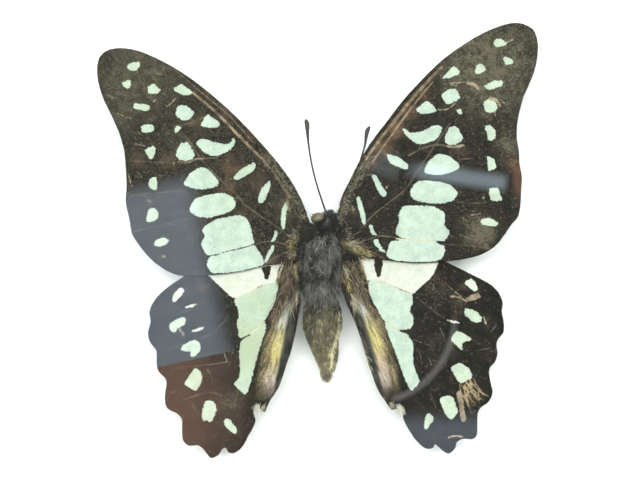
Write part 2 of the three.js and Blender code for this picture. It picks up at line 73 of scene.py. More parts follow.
# Markings of the four wings, as (across, up) in millimetres from the board's centre.
# A spot is a closed smooth curve through its points, and a line is a half width and its points.
# Cream, mint, white and notch are spots; seam, vein, tan, costa and ridge are lines. A scratch is
# the points of a hair line. Pale, warm and yellowed are soft patches: a centre, a radius and a weight.
# The root is the wing's base, which worn streaks run out from. Dust is the share of pale scales all over
# the wing, and the fold is the line of its rolled margin.
FOREWING_LEFT = {
    "root": (-3.0, 0.5),
    "dust": 0.62,
    "cream": [
        [(-30.7, 27.4), (-30.4, 28.1), (-29.1, 28.4), (-28.7, 28.0), (-29.3, 27.0), (-30.1, 27.1)],
        [(-31.6, 24.9), (-31.0, 25.3), (-30.2, 25.4), (-30.4, 24.2), (-31.0, 24.3)],
        [(-29.8, 21.4), (-29.2, 21.8), (-27.3, 21.4), (-27.1, 21.0), (-27.6, 20.6), (-29.4, 20.9)],
        [(-28.5, 18.1), (-27.9, 18.4), (-26.9, 18.4), (-26.5, 18.0), (-26.7, 17.3), (-28.2, 17.1)],
        [(-27.9, 14.2), (-27.4, 14.7), (-26.3, 14.9), (-26.4, 13.7), (-26.9, 12.9), (-27.4, 13.2)],
        [(-27.0, 9.8), (-26.2, 10.0), (-26.0, 9.5), (-26.0, 8.3), (-26.4, 8.0), (-27.0, 8.2),
         (-27.3, 8.9)],
        [(-27.4, 4.5), (-26.7, 5.1), (-26.0, 4.8), (-25.8, 4.1), (-26.0, 3.4), (-26.6, 3.0),
         (-27.6, 3.0)],
        [(-26.4, -0.5), (-25.9, 0.1), (-25.0, 0.4), (-24.1, -0.1), (-24.6, -0.7), (-25.4, -1.0),
         (-26.2, -1.0)],
        [(-27.5, 24.0), (-27.2, 24.6), (-26.6, 24.9), (-25.5, 24.0), (-25.7, 23.5), (-26.5, 23.3),
         (-27.2, 23.4)],
        [(-23.3, 24.1), (-22.9, 24.5), (-22.1, 24.8), (-20.7, 23.9), (-20.5, 23.4), (-21.6, 23.1),
         (-23.1, 23.7)],
        [(-22.9, 18.2), (-22.2, 18.0), (-22.4, 17.6), (-22.9, 17.1), (-23.2, 17.5)],
    ],
    "mint": [
        [(-22.9, 20.8), (-22.5, 21.4), (-21.4, 21.4), (-20.2, 20.5), (-20.4, 19.8), (-21.4, 19.0),
         (-22.4, 19.4), (-23.0, 20.0)],
        [(-19.0, 18.3), (-18.1, 19.9), (-17.2, 19.6), (-16.1, 18.7), (-16.3, 18.1), (-17.2, 17.9),
         (-18.4, 18.1)],
        [(-22.9, 13.8), (-22.3, 15.3), (-21.4, 15.6), (-20.9, 15.3), (-20.1, 13.8), (-20.2, 13.1),
         (-21.0, 12.7), (-22.0, 12.7), (-22.7, 13.1)],
        [(-19.7, 15.4), (-19.2, 16.0), (-18.4, 16.1), (-16.8, 15.6), (-14.8, 15.3), (-14.2, 15.7),
         (-14.0, 16.3), (-13.6, 15.9), (-13.7, 15.2), (-14.4, 14.4), (-15.4, 13.8), (-16.8, 13.4),
         (-17.9, 13.6), (-18.8, 14.3)],
        [(-21.7, 9.1), (-20.8, 10.5), (-19.9, 11.2), (-18.7, 11.6), (-17.8, 11.2), (-16.4, 9.6),
         (-16.2, 9.0), (-16.7, 8.5), (-17.7, 8.2), (-19.1, 8.1), (-20.5, 8.3), (-21.4, 8.7)],
        [(-20.8, 4.8), (-20.5, 5.7), (-19.9, 6.5), (-18.8, 7.0), (-15.9, 7.5), (-14.8, 7.3),
         (-13.9, 6.7), (-13.5, 5.8), (-13.8, 5.0), (-14.8, 4.4), (-17.7, 3.6), (-19.1, 3.7),
         (-20.2, 4.1)],
        [(-18.7, 1.3), (-18.5, 2.1), (-17.5, 2.8), (-16.2, 3.4), (-13.2, 3.9), (-12.3, 3.8),
         (-11.5, 3.1), (-10.8, 0.9), (-10.6, 0.1), (-10.7, -0.6), (-13.1, -1.4), (-16.2, -2.2),
         (-17.7, -2.5), (-18.5, -1.7), (-18.9, -0.5), (-18.4, 0.5)],
        [(-18.0, -3.9), (-17.8, -3.0), (-17.1, -2.52), (-14.6, -1.62), (-11.7, -0.92), (-10.6, -0.8),
         (-10.0, -1.4), (-9.0, -3.3), (-9.0, -3.8), (-10.0, -4.3), (-13.1, -5.0), (-16.2, -5.3),
         (-17.1, -5.2), (-17.7, -4.8)],
        [(-13.8, 10.0), (-13.2, 9.6), (-12.2, 10.1), (-10.9, 10.9), (-10.3, 11.8), (-10.6, 12.3),
         (-11.5, 11.9), (-12.7, 11.2)],
        [(-9.9, 6.4), (-9.5, 5.9), (-9.2, 6.0), (-8.6, 6.9), (-7.9, 8.8), (-8.2, 9.4), (-9.0, 8.6),
         (-9.6, 7.5)],
        [(-6.2, 2.4), (-5.9, 1.8), (-5.6, 2.1), (-5.4, 4.4), (-5.0, 5.7), (-5.1, 6.2), (-5.5, 5.9),
         (-6.0, 5.2), (-6.2, 3.8)],
        [(-7.9, -0.2), (-7.4, 0.7), (-7.2, 1.5), (-6.8, 1.3), (-6.9, 0.5), (-7.3, -0.1), (-7.7, -0.3)],
        [(-8.9, -3.7), (-8.6, -2.7), (-8.1, -1.6), (-7.6, -0.9), (-7.3, -1.0), (-7.4, -1.7),
         (-8.0, -2.6), (-8.5, -3.4)],
    ],
    "seam": [
        (0.06, [(-18.2, -2.6), (-16.2, -2.25), (-14.6, -1.75), (-13.1, -1.45), (-11.7, -1.05),
                (-10.5, -0.7)]),
    ],
    "vein": [
        (0.13, [(-3.2, -1.0), (-5.1, 0.8), (-7.5, 2.5), (-11.6, 5.3), (-13.4, 7.3), (-16.2, 9.9),
                (-19.0, 13.0), (-21.5, 16.7)]),
        (0.12, [(-8.8, -4.0), (-7.2, -2.8), (-5.4, -2.0), (-2.8, -1.9)]),
        (0.08, [(-10.4, -0.6), (-8.0, -0.2), (-6.0, -0.6), (-4.2, -1.4)]),
        (0.06, [(-17.0, 20.1), (-21.0, 18.6), (-23.5, 18.0)]),
        (0.08, [(-30.4, 12.6), (-26.0, 12.4), (-22.8, 12.3), (-19.8, 12.9), (-16.5, 13.1)]),
        (0.06, [(-21.5, 7.9), (-25.0, 7.6), (-30.4, 7.0)]),
        (0.05, [(-20.9, 3.3), (-25.0, 2.4), (-29.8, 1.2)]),
    ],
    "tan": [
        (0.12, [(-22.6, 12.5), (-21.0, 12.4), (-19.8, 12.9), (-18.6, 13.0)]),
        (0.1, [(-24.5, 21.3), (-23.8, 21.8), (-23.1, 22.6)]),
        (0.1, [(-26.6, 22.0), (-26.2, 22.4)]),
        (0.06, [(-32.4, 20.2), (-31.4, 19.8), (-30.2, 19.4)]),
        (0.05, [(-29.4, 15.3), (-28.0, 15.0)]),
        (0.05, [(-34.0, 23.2), (-33.0, 22.6), (-32.4, 22.7)]),
        (0.06, [(-30.6, 10.6), (-30.0, 8.6)]),
        (0.22, [(-25.0, -2.6), (-24.9, -2.6)]),
        (0.12, [(-23.4, 12.3), (-23.2, 12.3)]),
    ],
    "costa": [
        (0.2, [(-20.3, 23.5), (-17.5, 21.2), (-15.2, 19.0), (-12.8, 16.5), (-10.3, 14.0), (-7.7, 11.2),
               (-6.0, 8.75), (-4.75, 6.75)]),
        (0.05, [(-23.0, 27.0), (-19.0, 23.6), (-14.6, 19.9), (-10.4, 15.3)]),
    ],
    "scratch": [
        [(-8.3, 6.1), (-7.9, 5.5), (-7.6, 5.2)],
        [(-14.6, 6.9), (-13.2, 6.6)],
        [(-27.5, 6.4), (-26.6, 5.9)],
        [(-24.6, 2.6), (-22.0, 2.2)],
        [(-26.2, 26.6), (-24.4, 26.2)],
        [(-29.0, 10.8), (-28.4, 9.9)],
    ],
    "pale": [(-29.0, 26.0, 14.0, 0.47), (-31.6, 20.4, 6.0, 0.47), (-22.0, 16.0, 9.0, 0.38),
             (-5.4, 5.0, 3.4, 0.5)],
    "warm": [(-19.5, 18.8, 2.6, 0.5), (-17.8, 24.0, 2.4, 0.46), (-14.5, 20.6, 2.4, 0.48),
             (-11.0, 17.0, 2.4, 0.5), (-8.0, 13.0, 2.4, 0.5), (-14.0, 11.6, 3.4, 0.52),
             (-14.6, 8.0, 2.6, 0.52), (-9.6, 9.2, 3.6, 0.46), (-24.0, 12.8, 3.0, 0.46),
             (-29.0, 13.2, 3.0, 0.44), (-8.0, -3.2, 1.8, 0.55), (-12.6, 3.6, 2.4, 0.5)],
    "yellowed": [(-12.0, 10.0, 5.0, 0.5), (-7.0, 4.0, 3.0, 0.5)],
}

FOREWING_RIGHT = {
    "root": (3.2, 0.5),
    "dust": 0.3,
    "cream": [
        [(27.7, 31.3), (28.2, 32.0), (29.0, 32.0), (29.8, 31.4), (29.5, 31.0), (28.1, 30.8)],
        [(29.3, 28.9), (29.5, 29.2), (30.1, 29.1), (30.8, 28.6), (30.7, 28.2), (29.7, 27.9),
         (29.4, 28.4)],
        [(26.3, 24.6), (27.5, 25.3), (28.2, 25.4), (29.1, 25.4), (29.2, 25.0), (28.8, 24.5),
         (27.2, 24.0), (26.6, 24.1)],
        [(26.1, 21.4), (26.3, 22.1), (27.2, 22.5), (28.2, 21.7), (28.2, 20.9), (27.9, 20.5),
         (27.2, 20.3), (26.6, 20.4)],
        [(26.3, 17.9), (26.6, 18.2), (27.3, 18.2), (27.9, 17.5), (27.9, 16.2), (26.9, 15.9),
         (26.7, 16.7)],
        [(26.7, 13.2), (27.1, 13.2), (27.8, 12.9), (28.0, 12.1), (28.0, 11.5), (27.5, 11.2),
         (26.9, 11.1)],
        [(27.0, 8.0), (27.5, 8.3), (28.3, 8.2), (28.9, 6.9), (28.9, 6.4), (28.2, 6.2), (27.4, 6.3),
         (27.1, 6.8)],
        [(25.7, 3.2), (26.9, 3.5), (28.2, 2.9), (28.3, 2.5), (27.9, 2.2), (26.2, 2.4), (25.7, 2.7)],
        [(24.7, 26.9), (25.2, 28.0), (25.8, 28.1), (26.4, 27.4), (26.2, 26.9), (25.1, 26.5)],
        [(19.6, 25.9), (20.5, 26.9), (21.4, 27.7), (22.2, 27.0), (22.2, 26.5), (20.8, 25.9),
         (20.0, 25.8)],
        [(21.8, 20.5), (22.2, 20.9), (22.6, 20.7), (22.6, 20.1), (22.1, 20.1)],
    ],
    "mint": [
        [(19.4, 23.1), (20.3, 23.9), (21.0, 24.1), (21.7, 24.0), (22.4, 22.8), (22.0, 22.4),
         (20.6, 21.7), (20.0, 21.9)],
        [(15.4, 20.8), (16.7, 22.0), (17.4, 22.0), (18.5, 20.9), (18.5, 20.5), (17.2, 20.2),
         (16.2, 20.1)],
        [(13.2, 17.7), (13.6, 17.7), (14.3, 17.2), (15.0, 17.1), (16.6, 17.5), (18.0, 18.2),
         (18.7, 18.3), (19.4, 18.0), (19.2, 17.1), (18.4, 16.0), (16.6, 15.4), (16.0, 15.3),
         (15.1, 15.6), (13.7, 16.8)],
        [(20.1, 16.8), (20.7, 17.9), (21.2, 18.1), (21.8, 18.0), (22.6, 16.8), (22.8, 16.1),
         (22.0, 15.4), (21.2, 15.2), (20.3, 15.3), (19.9, 15.8)],
        [(16.7, 11.1), (17.3, 12.5), (18.6, 13.6), (19.4, 13.7), (20.3, 13.5), (21.8, 12.5),
         (22.2, 11.8), (22.1, 11.4), (20.6, 10.7), (18.6, 10.4), (17.1, 10.6)],
        [(14.4, 7.4), (14.6, 8.2), (15.1, 8.9), (15.9, 9.4), (18.0, 9.4), (20.5, 8.9), (21.8, 7.8),
         (21.9, 7.3), (21.5, 6.6), (20.8, 6.1), (18.3, 5.8), (15.7, 6.2), (14.8, 6.7)],
        [(12.6, 3.9), (12.8, 4.7), (13.3, 5.3), (13.9, 5.5), (17.6, 5.4), (19.3, 4.7), (19.9, 4.1),
         (19.9, 2.4), (20.6, 1.3), (20.1, 0.2), (19.3, -0.2), (15.5, -0.1), (13.2, 0.3), (12.2, 1.0),
         (12.1, 1.6), (12.6, 2.9)],
        [(10.7, -2.0), (11.2, -0.4), (11.9, -0.1), (14.6, 0.1), (17.5, 0.0), (19.4, -0.8), (19.9, -1.3),
         (19.8, -2.2), (19.1, -3.2), (16.7, -3.5), (13.1, -3.4), (11.7, -3.2), (10.7, -2.6)],
        [(10.6, 13.5), (11.0, 13.7), (12.3, 13.3), (13.4, 12.6), (14.0, 12.1), (14.0, 11.5),
         (13.4, 11.3), (12.0, 11.9), (11.2, 12.3)],
        [(8.3, 10.2), (8.6, 10.4), (9.0, 10.2), (10.2, 8.2), (10.6, 7.6), (10.4, 7.0), (9.9, 7.0),
         (9.1, 8.1)],
        [(5.8, 6.5), (6.1, 6.9), (6.4, 6.7), (7.0, 4.9), (7.3, 3.4), (7.2, 2.6), (6.8, 2.8),
         (6.1, 5.3)],
        [(7.9, 2.1), (8.1, 2.5), (8.4, 2.2), (8.9, 1.0), (9.2, 0.8), (8.6, 0.8), (8.2, 1.0)],
        [(8.6, -0.4), (8.8, 0.1), (9.2, 0.1), (9.8, -1.1), (10.5, -1.9), (9.8, -1.8), (9.1, -1.2)],
    ],
    "seam": [
        (0.05, [(18.6, -0.2), (20.0, -0.6)]),
    ],
    "vein": [
        (0.1, [(6.2, 1.5), (8.5, 4.0), (11.3, 6.2), (13.7, 8.2), (15.5, 10.9), (18.3, 15.0),
               (20.7, 18.6)]),
        (0.15, [(14.2, 13.5), (15.5, 14.2), (17.5, 15.0), (19.0, 15.2), (20.4, 14.9)]),
        (0.08, [(21.8, 6.1), (24.5, 5.9), (26.5, 6.0)]),
        (0.08, [(19.6, -0.7), (24.5, -0.95), (27.0, -1.4)]),
        (0.07, [(22.0, 12.9), (24.3, 13.0)]),
        (0.1, [(4.4, -1.6), (6.6, -0.3), (9.3, 0.6), (10.5, 0.6), (12.5, 0.3), (13.3, 0.1)]),
        (0.08, [(5.0, -1.2), (8.2, -1.9), (10.6, -3.2)]),
    ],
    "tan": [
        (0.08, [(20.7, 25.0), (22.0, 25.1), (23.4, 25.2)]),
        (0.06, [(20.9, 24.8), (21.8, 24.6)]),
        (0.24, [(23.6, 25.0), (24.6, 24.8), (25.2, 24.2)]),
        (0.2, [(20.4, 14.95), (21.8, 14.9), (22.9, 15.1)]),
        (0.09, [(18.9, 20.8), (20.3, 20.9), (21.6, 21.8)]),
        (0.12, [(29.9, 31.5), (30.7, 31.9)]),
        (0.26, [(27.2, 22.6), (28.2, 22.2)]),
        (0.16, [(28.4, 22.0), (28.7, 21.4)]),
        (0.1, [(28.9, 22.3), (29.4, 21.8)]),
        (0.12, [(27.9, 20.4), (27.95, 19.8)]),
        (0.22, [(5.2, 5.1), (5.4, 4.9)]),
        (0.16, [(10.6, 8.4), (10.7, 8.4)]),
        (0.16, [(26.0, 6.8), (26.1, 6.8)]),
        (0.1, [(24.2, 4.0), (25.6, 4.2)]),
    ],
    "costa": [
        (0.24, [(6.6, 11.6), (7.2, 12.6), (9.3, 15.7), (11.7, 18.8), (14.3, 22.1), (16.7, 24.8),
                (19.4, 27.6)]),
        (0.12, [(7.6, 11.6), (8.85, 13.1), (12.9, 18.8), (15.8, 22.6), (18.0, 25.2)]),
    ],
    "ridge": [
        (0.11, [(12.2, 0.2), (13.4, 0.1), (15.5, 0.0), (18.2, -0.1)]),
    ],
    "scratch": [
        [(22.6, 3.6), (23.6, 2.9)],
        [(23.0, 2.2), (24.8, 1.4)],
        [(25.2, 0.6), (27.2, 0.8)],
        [(22.4, 0.8), (24.0, 0.2)],
        [(26.4, 2.0), (28.4, 1.4)],
        [(23.4, 4.8), (24.6, 4.6)],
        [(24.0, 29.4), (25.6, 29.0)],
        [(31.2, 26.4), (32.4, 25.8)],
        [(10.0, 5.2), (11.0, 5.0)],
    ],
    "pale": [(27.0, 28.0, 14.0, 0.58), (30.4, 15.0, 4.0, 0.56), (25.6, 1.4, 4.4, 0.63),
             (4.6, 5.0, 2.6, 0.48)],
    "warm": [(8.0, 12.2, 2.2, 0.55), (10.2, 14.8, 2.6, 0.62), (12.4, 17.6, 2.6, 0.62),
             (14.4, 20.4, 2.4, 0.56), (16.6, 23.4, 2.2, 0.5), (22.0, 14.2, 2.4, 0.46),
             (30.8, 12.0, 2.2, 0.5), (26.0, 0.6, 2.6, 0.44)],
}

HINDWING_LEFT = {
    "root": (-3.4, -4.0),
    "dust": 0.3,
    "cream": [
        [(-24.1, -13.8), (-23.8, -13.2), (-22.9, -12.7), (-22.0, -12.4), (-21.5, -12.6), (-21.6, -13.5),
         (-22.7, -14.1), (-23.1, -14.7), (-23.7, -14.7)],
        [(-22.2, -17.5), (-21.7, -16.7), (-20.2, -16.0), (-19.4, -16.3), (-19.1, -16.9), (-19.2, -17.7),
         (-20.2, -18.7), (-20.6, -18.5), (-20.8, -17.9), (-21.9, -17.7)],
        [(-20.0, -20.6), (-19.4, -20.8), (-18.9, -21.6), (-18.9, -22.5), (-19.4, -23.5), (-20.0, -24.1),
         (-21.5, -23.2), (-21.5, -22.7), (-20.9, -21.7)],
        [(-18.8, -27.4), (-18.4, -26.0), (-17.8, -25.7), (-17.1, -25.9), (-16.6, -26.6), (-16.7, -27.7),
         (-17.5, -29.1), (-18.1, -28.8), (-18.5, -29.0), (-18.9, -28.4)],
        [(-15.3, -29.3), (-15.2, -28.7), (-14.6, -28.6), (-13.5, -30.0), (-13.3, -30.6), (-13.7, -31.0),
         (-14.9, -30.1)],
    ],
    "mint": [
        [(-13.7, -9.9), (-13.2, -10.9), (-13.0, -12.2), (-13.3, -13.2), (-13.1, -14.4), (-12.9, -15.6),
         (-12.2, -15.5), (-11.1, -15.0), (-9.0, -13.0), (-8.1, -11.6), (-7.4, -10.3), (-7.0, -9.0),
         (-6.8, -6.6), (-8.8, -7.0), (-11.9, -8.6), (-13.4, -9.2)],
        [(-12.7, -16.3), (-12.9, -18.2), (-12.8, -21.1), (-13.0, -22.1), (-13.7, -23.0), (-13.4, -23.5),
         (-12.1, -24.7), (-11.7, -24.4), (-11.2, -23.1), (-10.0, -18.5), (-9.4, -16.5), (-8.8, -14.7),
         (-8.8, -13.4), (-10.3, -14.2), (-11.7, -15.4)],
    ],
    "white": [
        [(-18.8, -4.2), (-17.1, -6.3), (-15.1, -8.3), (-13.7, -9.3), (-11.9, -8.8), (-9.0, -7.2),
         (-6.8, -6.6), (-6.4, -5.5), (-6.0, -4.1), (-6.2, -2.6), (-12.0, -2.4)],
        [(-23.6, -9.3), (-23.5, -9.9), (-23.0, -9.8), (-21.7, -8.2), (-22.0, -7.7), (-22.4, -7.7),
         (-23.1, -8.3)],
        [(-21.8, -10.9), (-20.6, -10.3), (-19.6, -10.2), (-20.4, -10.7)],
        [(-20.7, -14.7), (-19.6, -14.1), (-18.4, -13.9), (-19.3, -14.5)],
    ],
    "notch": [
        [(-9.3, -4.4), (-7.9, -4.2), (-8.0, -5.3), (-8.3, -6.2), (-8.8, -6.2), (-9.0, -5.4)],
    ],
    "seam": [
        (0.1, [(-13.0, -16.1), (-12.2, -15.7), (-11.3, -15.2)]),
    ],
    "vein": [
        (0.08, [(-18.5, -9.8), (-20.5, -11.0), (-24.5, -12.0)]),
        (0.07, [(-15.0, -19.5), (-18.0, -20.0), (-23.0, -20.4)]),
        (0.06, [(-14.5, -25.6), (-17.5, -24.4), (-22.0, -25.6)]),
        (0.06, [(-14.6, -12.2), (-18.0, -15.4), (-24.0, -17.4)]),
    ],
    "tan": [
        (0.05, [(-10.4, -7.9), (-9.4, -7.3)]),
        (0.2, [(-22.4, -14.3), (-21.8, -15.1)]),
    ],
    "ridge": [
        (0.1, [(-13.6, -9.3), (-11.9, -8.7), (-8.6, -7.0)]),
        (0.1, [(-11.0, -15.0), (-10.0, -14.1), (-8.8, -13.1)]),
    ],
    "scratch": [
        [(-18.0, -20.6), (-17.2, -22.4)],
        [(-15.4, -18.0), (-14.8, -19.6)],
        [(-20.4, -26.2), (-19.8, -27.6)],
    ],
    "pale": [(-24.0, -12.0, 5.0, 0.3), (-14.0, -26.0, 4.0, 0.46)],
    "warm": [(-19.0, -7.4, 2.6, 0.42), (-21.5, -22.0, 5.0, 0.3), (-9.2, -5.2, 0.9, 0.6)],
    "yellowed": [(-11.4, -17.0, 6.0, 1.0), (-10.0, -10.0, 4.0, 0.7)],
    "fold": [(-4.8, -9.6), (-5.75, -12.2), (-6.55, -15.0), (-7.1, -17.4), (-7.6, -20.0), (-8.09, -22.2),
             (-8.3, -24.0), (-8.8, -26.4)],
}

HINDWING_RIGHT = {
    "root": (3.4, -4.0),
    "dust": 0.12,
    "cream": [
        [(23.1, -11.4), (23.4, -11.0), (24.9, -11.4), (25.8, -12.4), (25.7, -13.0), (25.1, -13.2),
         (24.4, -13.0), (23.2, -12.0)],
        [(21.0, -15.7), (21.8, -14.7), (22.4, -14.7), (23.8, -15.5), (24.2, -16.0), (22.9, -16.4),
         (22.8, -17.5), (22.4, -17.4), (21.2, -16.3)],
        [(21.0, -20.7), (21.2, -20.1), (22.0, -19.8), (22.7, -19.8), (24.0, -20.8), (24.3, -21.6),
         (24.1, -22.1), (22.6, -22.9), (22.2, -22.6)],
        [(19.2, -25.6), (19.5, -25.1), (21.1, -25.0), (21.8, -26.7), (21.9, -27.6), (21.1, -28.6),
         (20.2, -28.1), (19.5, -26.5)],
        [(16.8, -28.8), (17.1, -27.9), (17.6, -27.8), (18.1, -28.3), (18.1, -28.9), (17.4, -29.8),
         (17.2, -30.2), (16.7, -30.1)],
    ],
    "mint": [
        [(7.8, -6.6), (8.1, -9.1), (9.1, -10.9), (10.4, -13.0), (12.7, -14.4), (13.7, -14.5),
         (14.5, -14.2), (14.9, -13.5), (14.9, -12.4), (14.4, -11.2), (14.9, -9.8), (14.7, -8.9),
         (14.3, -8.4), (9.2, -6.2)],
        [(10.4, -13.2), (11.2, -15.7), (12.6, -19.5), (13.6, -22.3), (14.3, -23.7), (14.8, -24.0),
         (15.8, -22.9), (15.8, -22.2), (15.0, -20.0), (14.9, -17.9), (14.8, -16.5), (14.0, -15.1),
         (13.2, -14.7), (11.5, -13.8)],
    ],
    "white": [
        [(6.4, -2.4), (6.6, -3.7), (7.2, -5.4), (7.7, -6.5), (9.2, -6.4), (14.4, -8.6), (14.9, -8.6),
         (16.1, -7.5), (17.8, -5.9), (18.6, -4.4), (18.4, -3.0), (12.0, -1.8)],
        [(23.1, -6.9), (24.0, -6.2), (24.6, -6.5), (25.1, -7.4), (25.1, -8.0), (24.6, -8.2),
         (23.5, -7.3)],
        [(20.3, -12.8), (21.4, -12.9), (22.4, -13.3), (21.3, -13.3)],
    ],
    "notch": [
        [(8.7, -3.2), (10.0, -3.2), (9.8, -5.2), (9.6, -5.9), (9.2, -5.9), (8.9, -5.1)],
        [(15.4, -13.8), (14.6, -14.2), (12.6, -14.5), (14.2, -15.1), (15.2, -15.6)],
    ],
    "vein": [
        (0.05, [(16.0, -9.6), (18.5, -11.6), (20.0, -12.6)]),
        (0.05, [(24.6, -17.8), (27.4, -17.2)]),
        (0.05, [(17.6, -24.4), (18.6, -26.8)]),
    ],
    "tan": [
        (0.05, [(12.0, -7.5), (14.4, -8.5)]),
        (0.14, [(21.0, -9.0), (22.4, -9.2), (23.1, -9.6)]),
        (0.07, [(21.5, -8.2), (22.6, -9.0)]),
        (0.3, [(23.5, -9.6), (24.2, -9.35)]),
        (0.46, [(24.3, -9.25), (25.2, -8.9)]),
        (0.4, [(22.2, -24.6), (22.5, -25.8), (22.7, -27.4), (23.0, -28.7)]),
        (0.1, [(20.6, -31.6), (21.6, -31.3), (22.7, -31.5)]),
        (0.1, [(26.2, -12.4), (26.5, -13.4)]),
    ],
    "ridge": [
        (0.09, [(8.4, -6.3), (11.0, -7.1), (13.4, -8.1)]),
        (0.1, [(10.5, -13.1), (11.6, -13.8), (12.8, -14.4)]),
    ],
    "scratch": [
        [(14.9, -15.9), (16.4, -16.5), (17.7, -16.9)],
        [(15.9, -17.9), (16.4, -19.8)],
        [(17.5, -18.9), (17.8, -20.0)],
        [(19.2, -14.1), (19.9, -15.6)],
        [(19.4, -18.4), (20.1, -19.8)],
        [(20.4, -7.2), (21.4, -8.2)],
        [(27.4, -14.6), (28.2, -13.6)],
    ],
    "pale": [(22.0, -9.5, 2.4, 0.4), (19.4, -17.6, 5.0, 0.38), (18.6, -8.4, 4.0, 0.42)],
    "warm": [(19.5, -6.6, 3.0, 0.4), (22.0, -11.0, 1.8, 0.44), (24.0, -25.2, 3.0, 0.45),
             (22.7, -7.4, 1.4, 0.45)],
    "fold": [(5.1, -8.4), (6.6, -10.6), (7.8, -12.4), (8.6, -14.5), (9.36, -16.9), (10.0, -19.4),
             (10.5, -21.8), (10.85, -23.7), (11.5, -26.2)],
}

WINGS = {
    "forewing_left": FOREWING_LEFT,
    "forewing_right": FOREWING_RIGHT,
    "hindwing_left": HINDWING_LEFT,
    "hindwing_right": HINDWING_RIGHT,
}
SPOTS = ("mint", "cream", "white")
LINES = ("seam", "vein", "tan", "costa", "ridge", "scratch", "rubbed")
PATCHES = ("pale", "warm", "yellowed")

# Where the scales of one hindwing are rubbed off to bare creased membrane: the point that the creases
# fan out from, their number, their turn and reach, how much these vary, and their half widths
RUBBED_WING = "hindwing_right"
RUBBED_FROM = (20.6, -18.0)
RUBBED_LINES = 24
RUBBED_TURN = (-1.30, -0.86)
RUBBED_BEND = 0.06
RUBBED_REACH = (5.0, 10.4)
RUBBED_START_VARIES = 2.0
RUBBED_END_VARIES = 2.6
RUBBED_SHORTEST = 1.0
RUBBED_HALF_WIDTH = (0.006, 0.03)

# Wing sheets, in millimetres: spacing of their points, thickness, and how far their middle lies in front
# of the solid's flat back; then the solid's own thickness
WING_GRID = 0.22
WING_THICKNESS = 0.14
WING_SETBACK = 0.15
PLATE_THICKNESS = 0.3
# Their relief: ragged rim, gentle ripple, raised veins, the groove of the fold and how it runs out at
# its ends, and the share and the most of the relief that shows on the back
RIM_RAGGED = 0.05
RIM_WAVE = 0.9
RIPPLE = 0.05
RIPPLE_LENGTH = 7.0
VEIN_RISE = 0.06
VEIN_SLOPE = 0.1
GROOVE_WIDTH = 0.55
GROOVE_SHARE = 0.6
GROOVE_ENDS = 0.5
BACK_SHARE = 0.5
BACK_MOST = 0.1
SCRATCH_HALF_WIDTH = 0.04
# How far from a marking its edge is still measured, and a distance that is far from any fold
FIELD_REACH = 1.2
NO_FOLD = 9.0
# Lengths too small to count, decimals of a metre that points are told apart by, the least of a length
# that is divided by, and how straight a solid's flat back faces backwards
SAME_POINT = 1e-6
DECIMALS = 6
TINY = 1e-30
FACES_BACK = 0.9
# Parts that smooth curves are drawn in between two of their points
LINE_PARTS = 5
RIM_PARTS = 3
FOLD_PARTS = 6
FINE_PARTS = 8


def linear(hex_colour):
    """An sRGB hex colour as linear red, green, blue and alpha"""
    channels = [int(hex_colour[i:i + 2], 16) / 255 for i in (1, 3, 5)]
    return (*[c / 12.92 if c <= 0.04045 else ((c + 0.055) / 1.055) ** 2.4 for c in channels], 1.0)


def per_metre(size_mm):
    """How many pattern cells of this size fit in a metre"""
    return 1 / (size_mm * MM)


# Node settings that many materials share
EASED = {"interpolation_type": "SMOOTHSTEP"}
TIMES = {"operation": "MULTIPLY"}
TIMES_PLUS = {"operation": "MULTIPLY_ADD"}
LESS = {"operation": "SUBTRACT"}
COLOURS = {"data_type": "RGBA", "out": 2}


def add_node(tree, kind, inputs=(), out=0, **settings):
    """Adds a node and gives one of its outputs. Inputs are values or other outputs, in order or by name."""
    node = tree.nodes.new("ShaderNode" + kind)
    for name, value in settings.items():
        setattr(node, name, value)
    for socket, value in inputs.items() if isinstance(inputs, dict) else enumerate(inputs):
        if isinstance(value, bpy.types.NodeSocket):
            tree.links.new(value, node.inputs[socket])
        else:
            node.inputs[socket].default_value = value
    return node.outputs[out] if node.outputs else None


def laid_over(add, colour, *layers):
    """A colour with shades laid over it, each by its share; a colour is hex or another node's output"""
    for share, shade in layers:
        under, over = (linear(c) if isinstance(c, str) else c for c in (colour, shade))
        colour = add("Mix", {0: share, 6: under, 7: over}, **COLOURS)
    return colour


def eased_product(add, *spans):
    """One share from several: each value is eased over its span, if it has one, and all are multiplied"""
    share = None
    for value, *span in spans:
        part = add("MapRange", [value, *span], **EASED) if span else value
        share = part if share is None else add("Math", [share, part], **TIMES)
    return share


def new_material(name):
    """An empty material and the function that adds nodes to it"""
    material = bpy.data.materials.new(name)
    material.use_nodes = True
    material.node_tree.nodes.clear()
    return material, partial(add_node, material.node_tree)


def finish_surface(add, colour, height, height_mm, **sockets):
    """The shader, with a bump of a real height, on the material's output"""
    bump = add("Bump", {"Height": height, "Distance": height_mm * MM, "Strength": 1.0})
    named = {name.replace("_", " "): value for name, value in sockets.items()}
    shader = add("BsdfPrincipled", {"Base Color": colour, "Normal": bump, **named})
    add("OutputMaterial", [shader])


# Curves and distances on the flat, in millimetres
def smooth(points, parts, closed=False):
    """A smooth curve through the points, with this many parts between each two"""
    points = np.asarray(points, float)
    if closed:
        before, start, end, after = (np.roll(points, shift, 0) for shift in (1, 0, -1, -2))
    else:
        padded = np.vstack([points[0], points, points[-1]])
        before, start, end, after = padded[:-3], padded[1:-2], padded[2:-1], padded[3:]
    before, start, end, after = (p[:, None, :] for p in (before, start, end, after))
    share = (np.arange(parts) / parts)[None, :, None]
    squared = 2 * before - 5 * start + 4 * end - after
    cubed = 3 * (start - end) + after - before
    curve = start + 0.5 * share * (end - before + share * (squared + share * cubed))
    curve = curve.reshape(-1, points.shape[1])
    return curve if closed else np.vstack([curve, points[-1]])


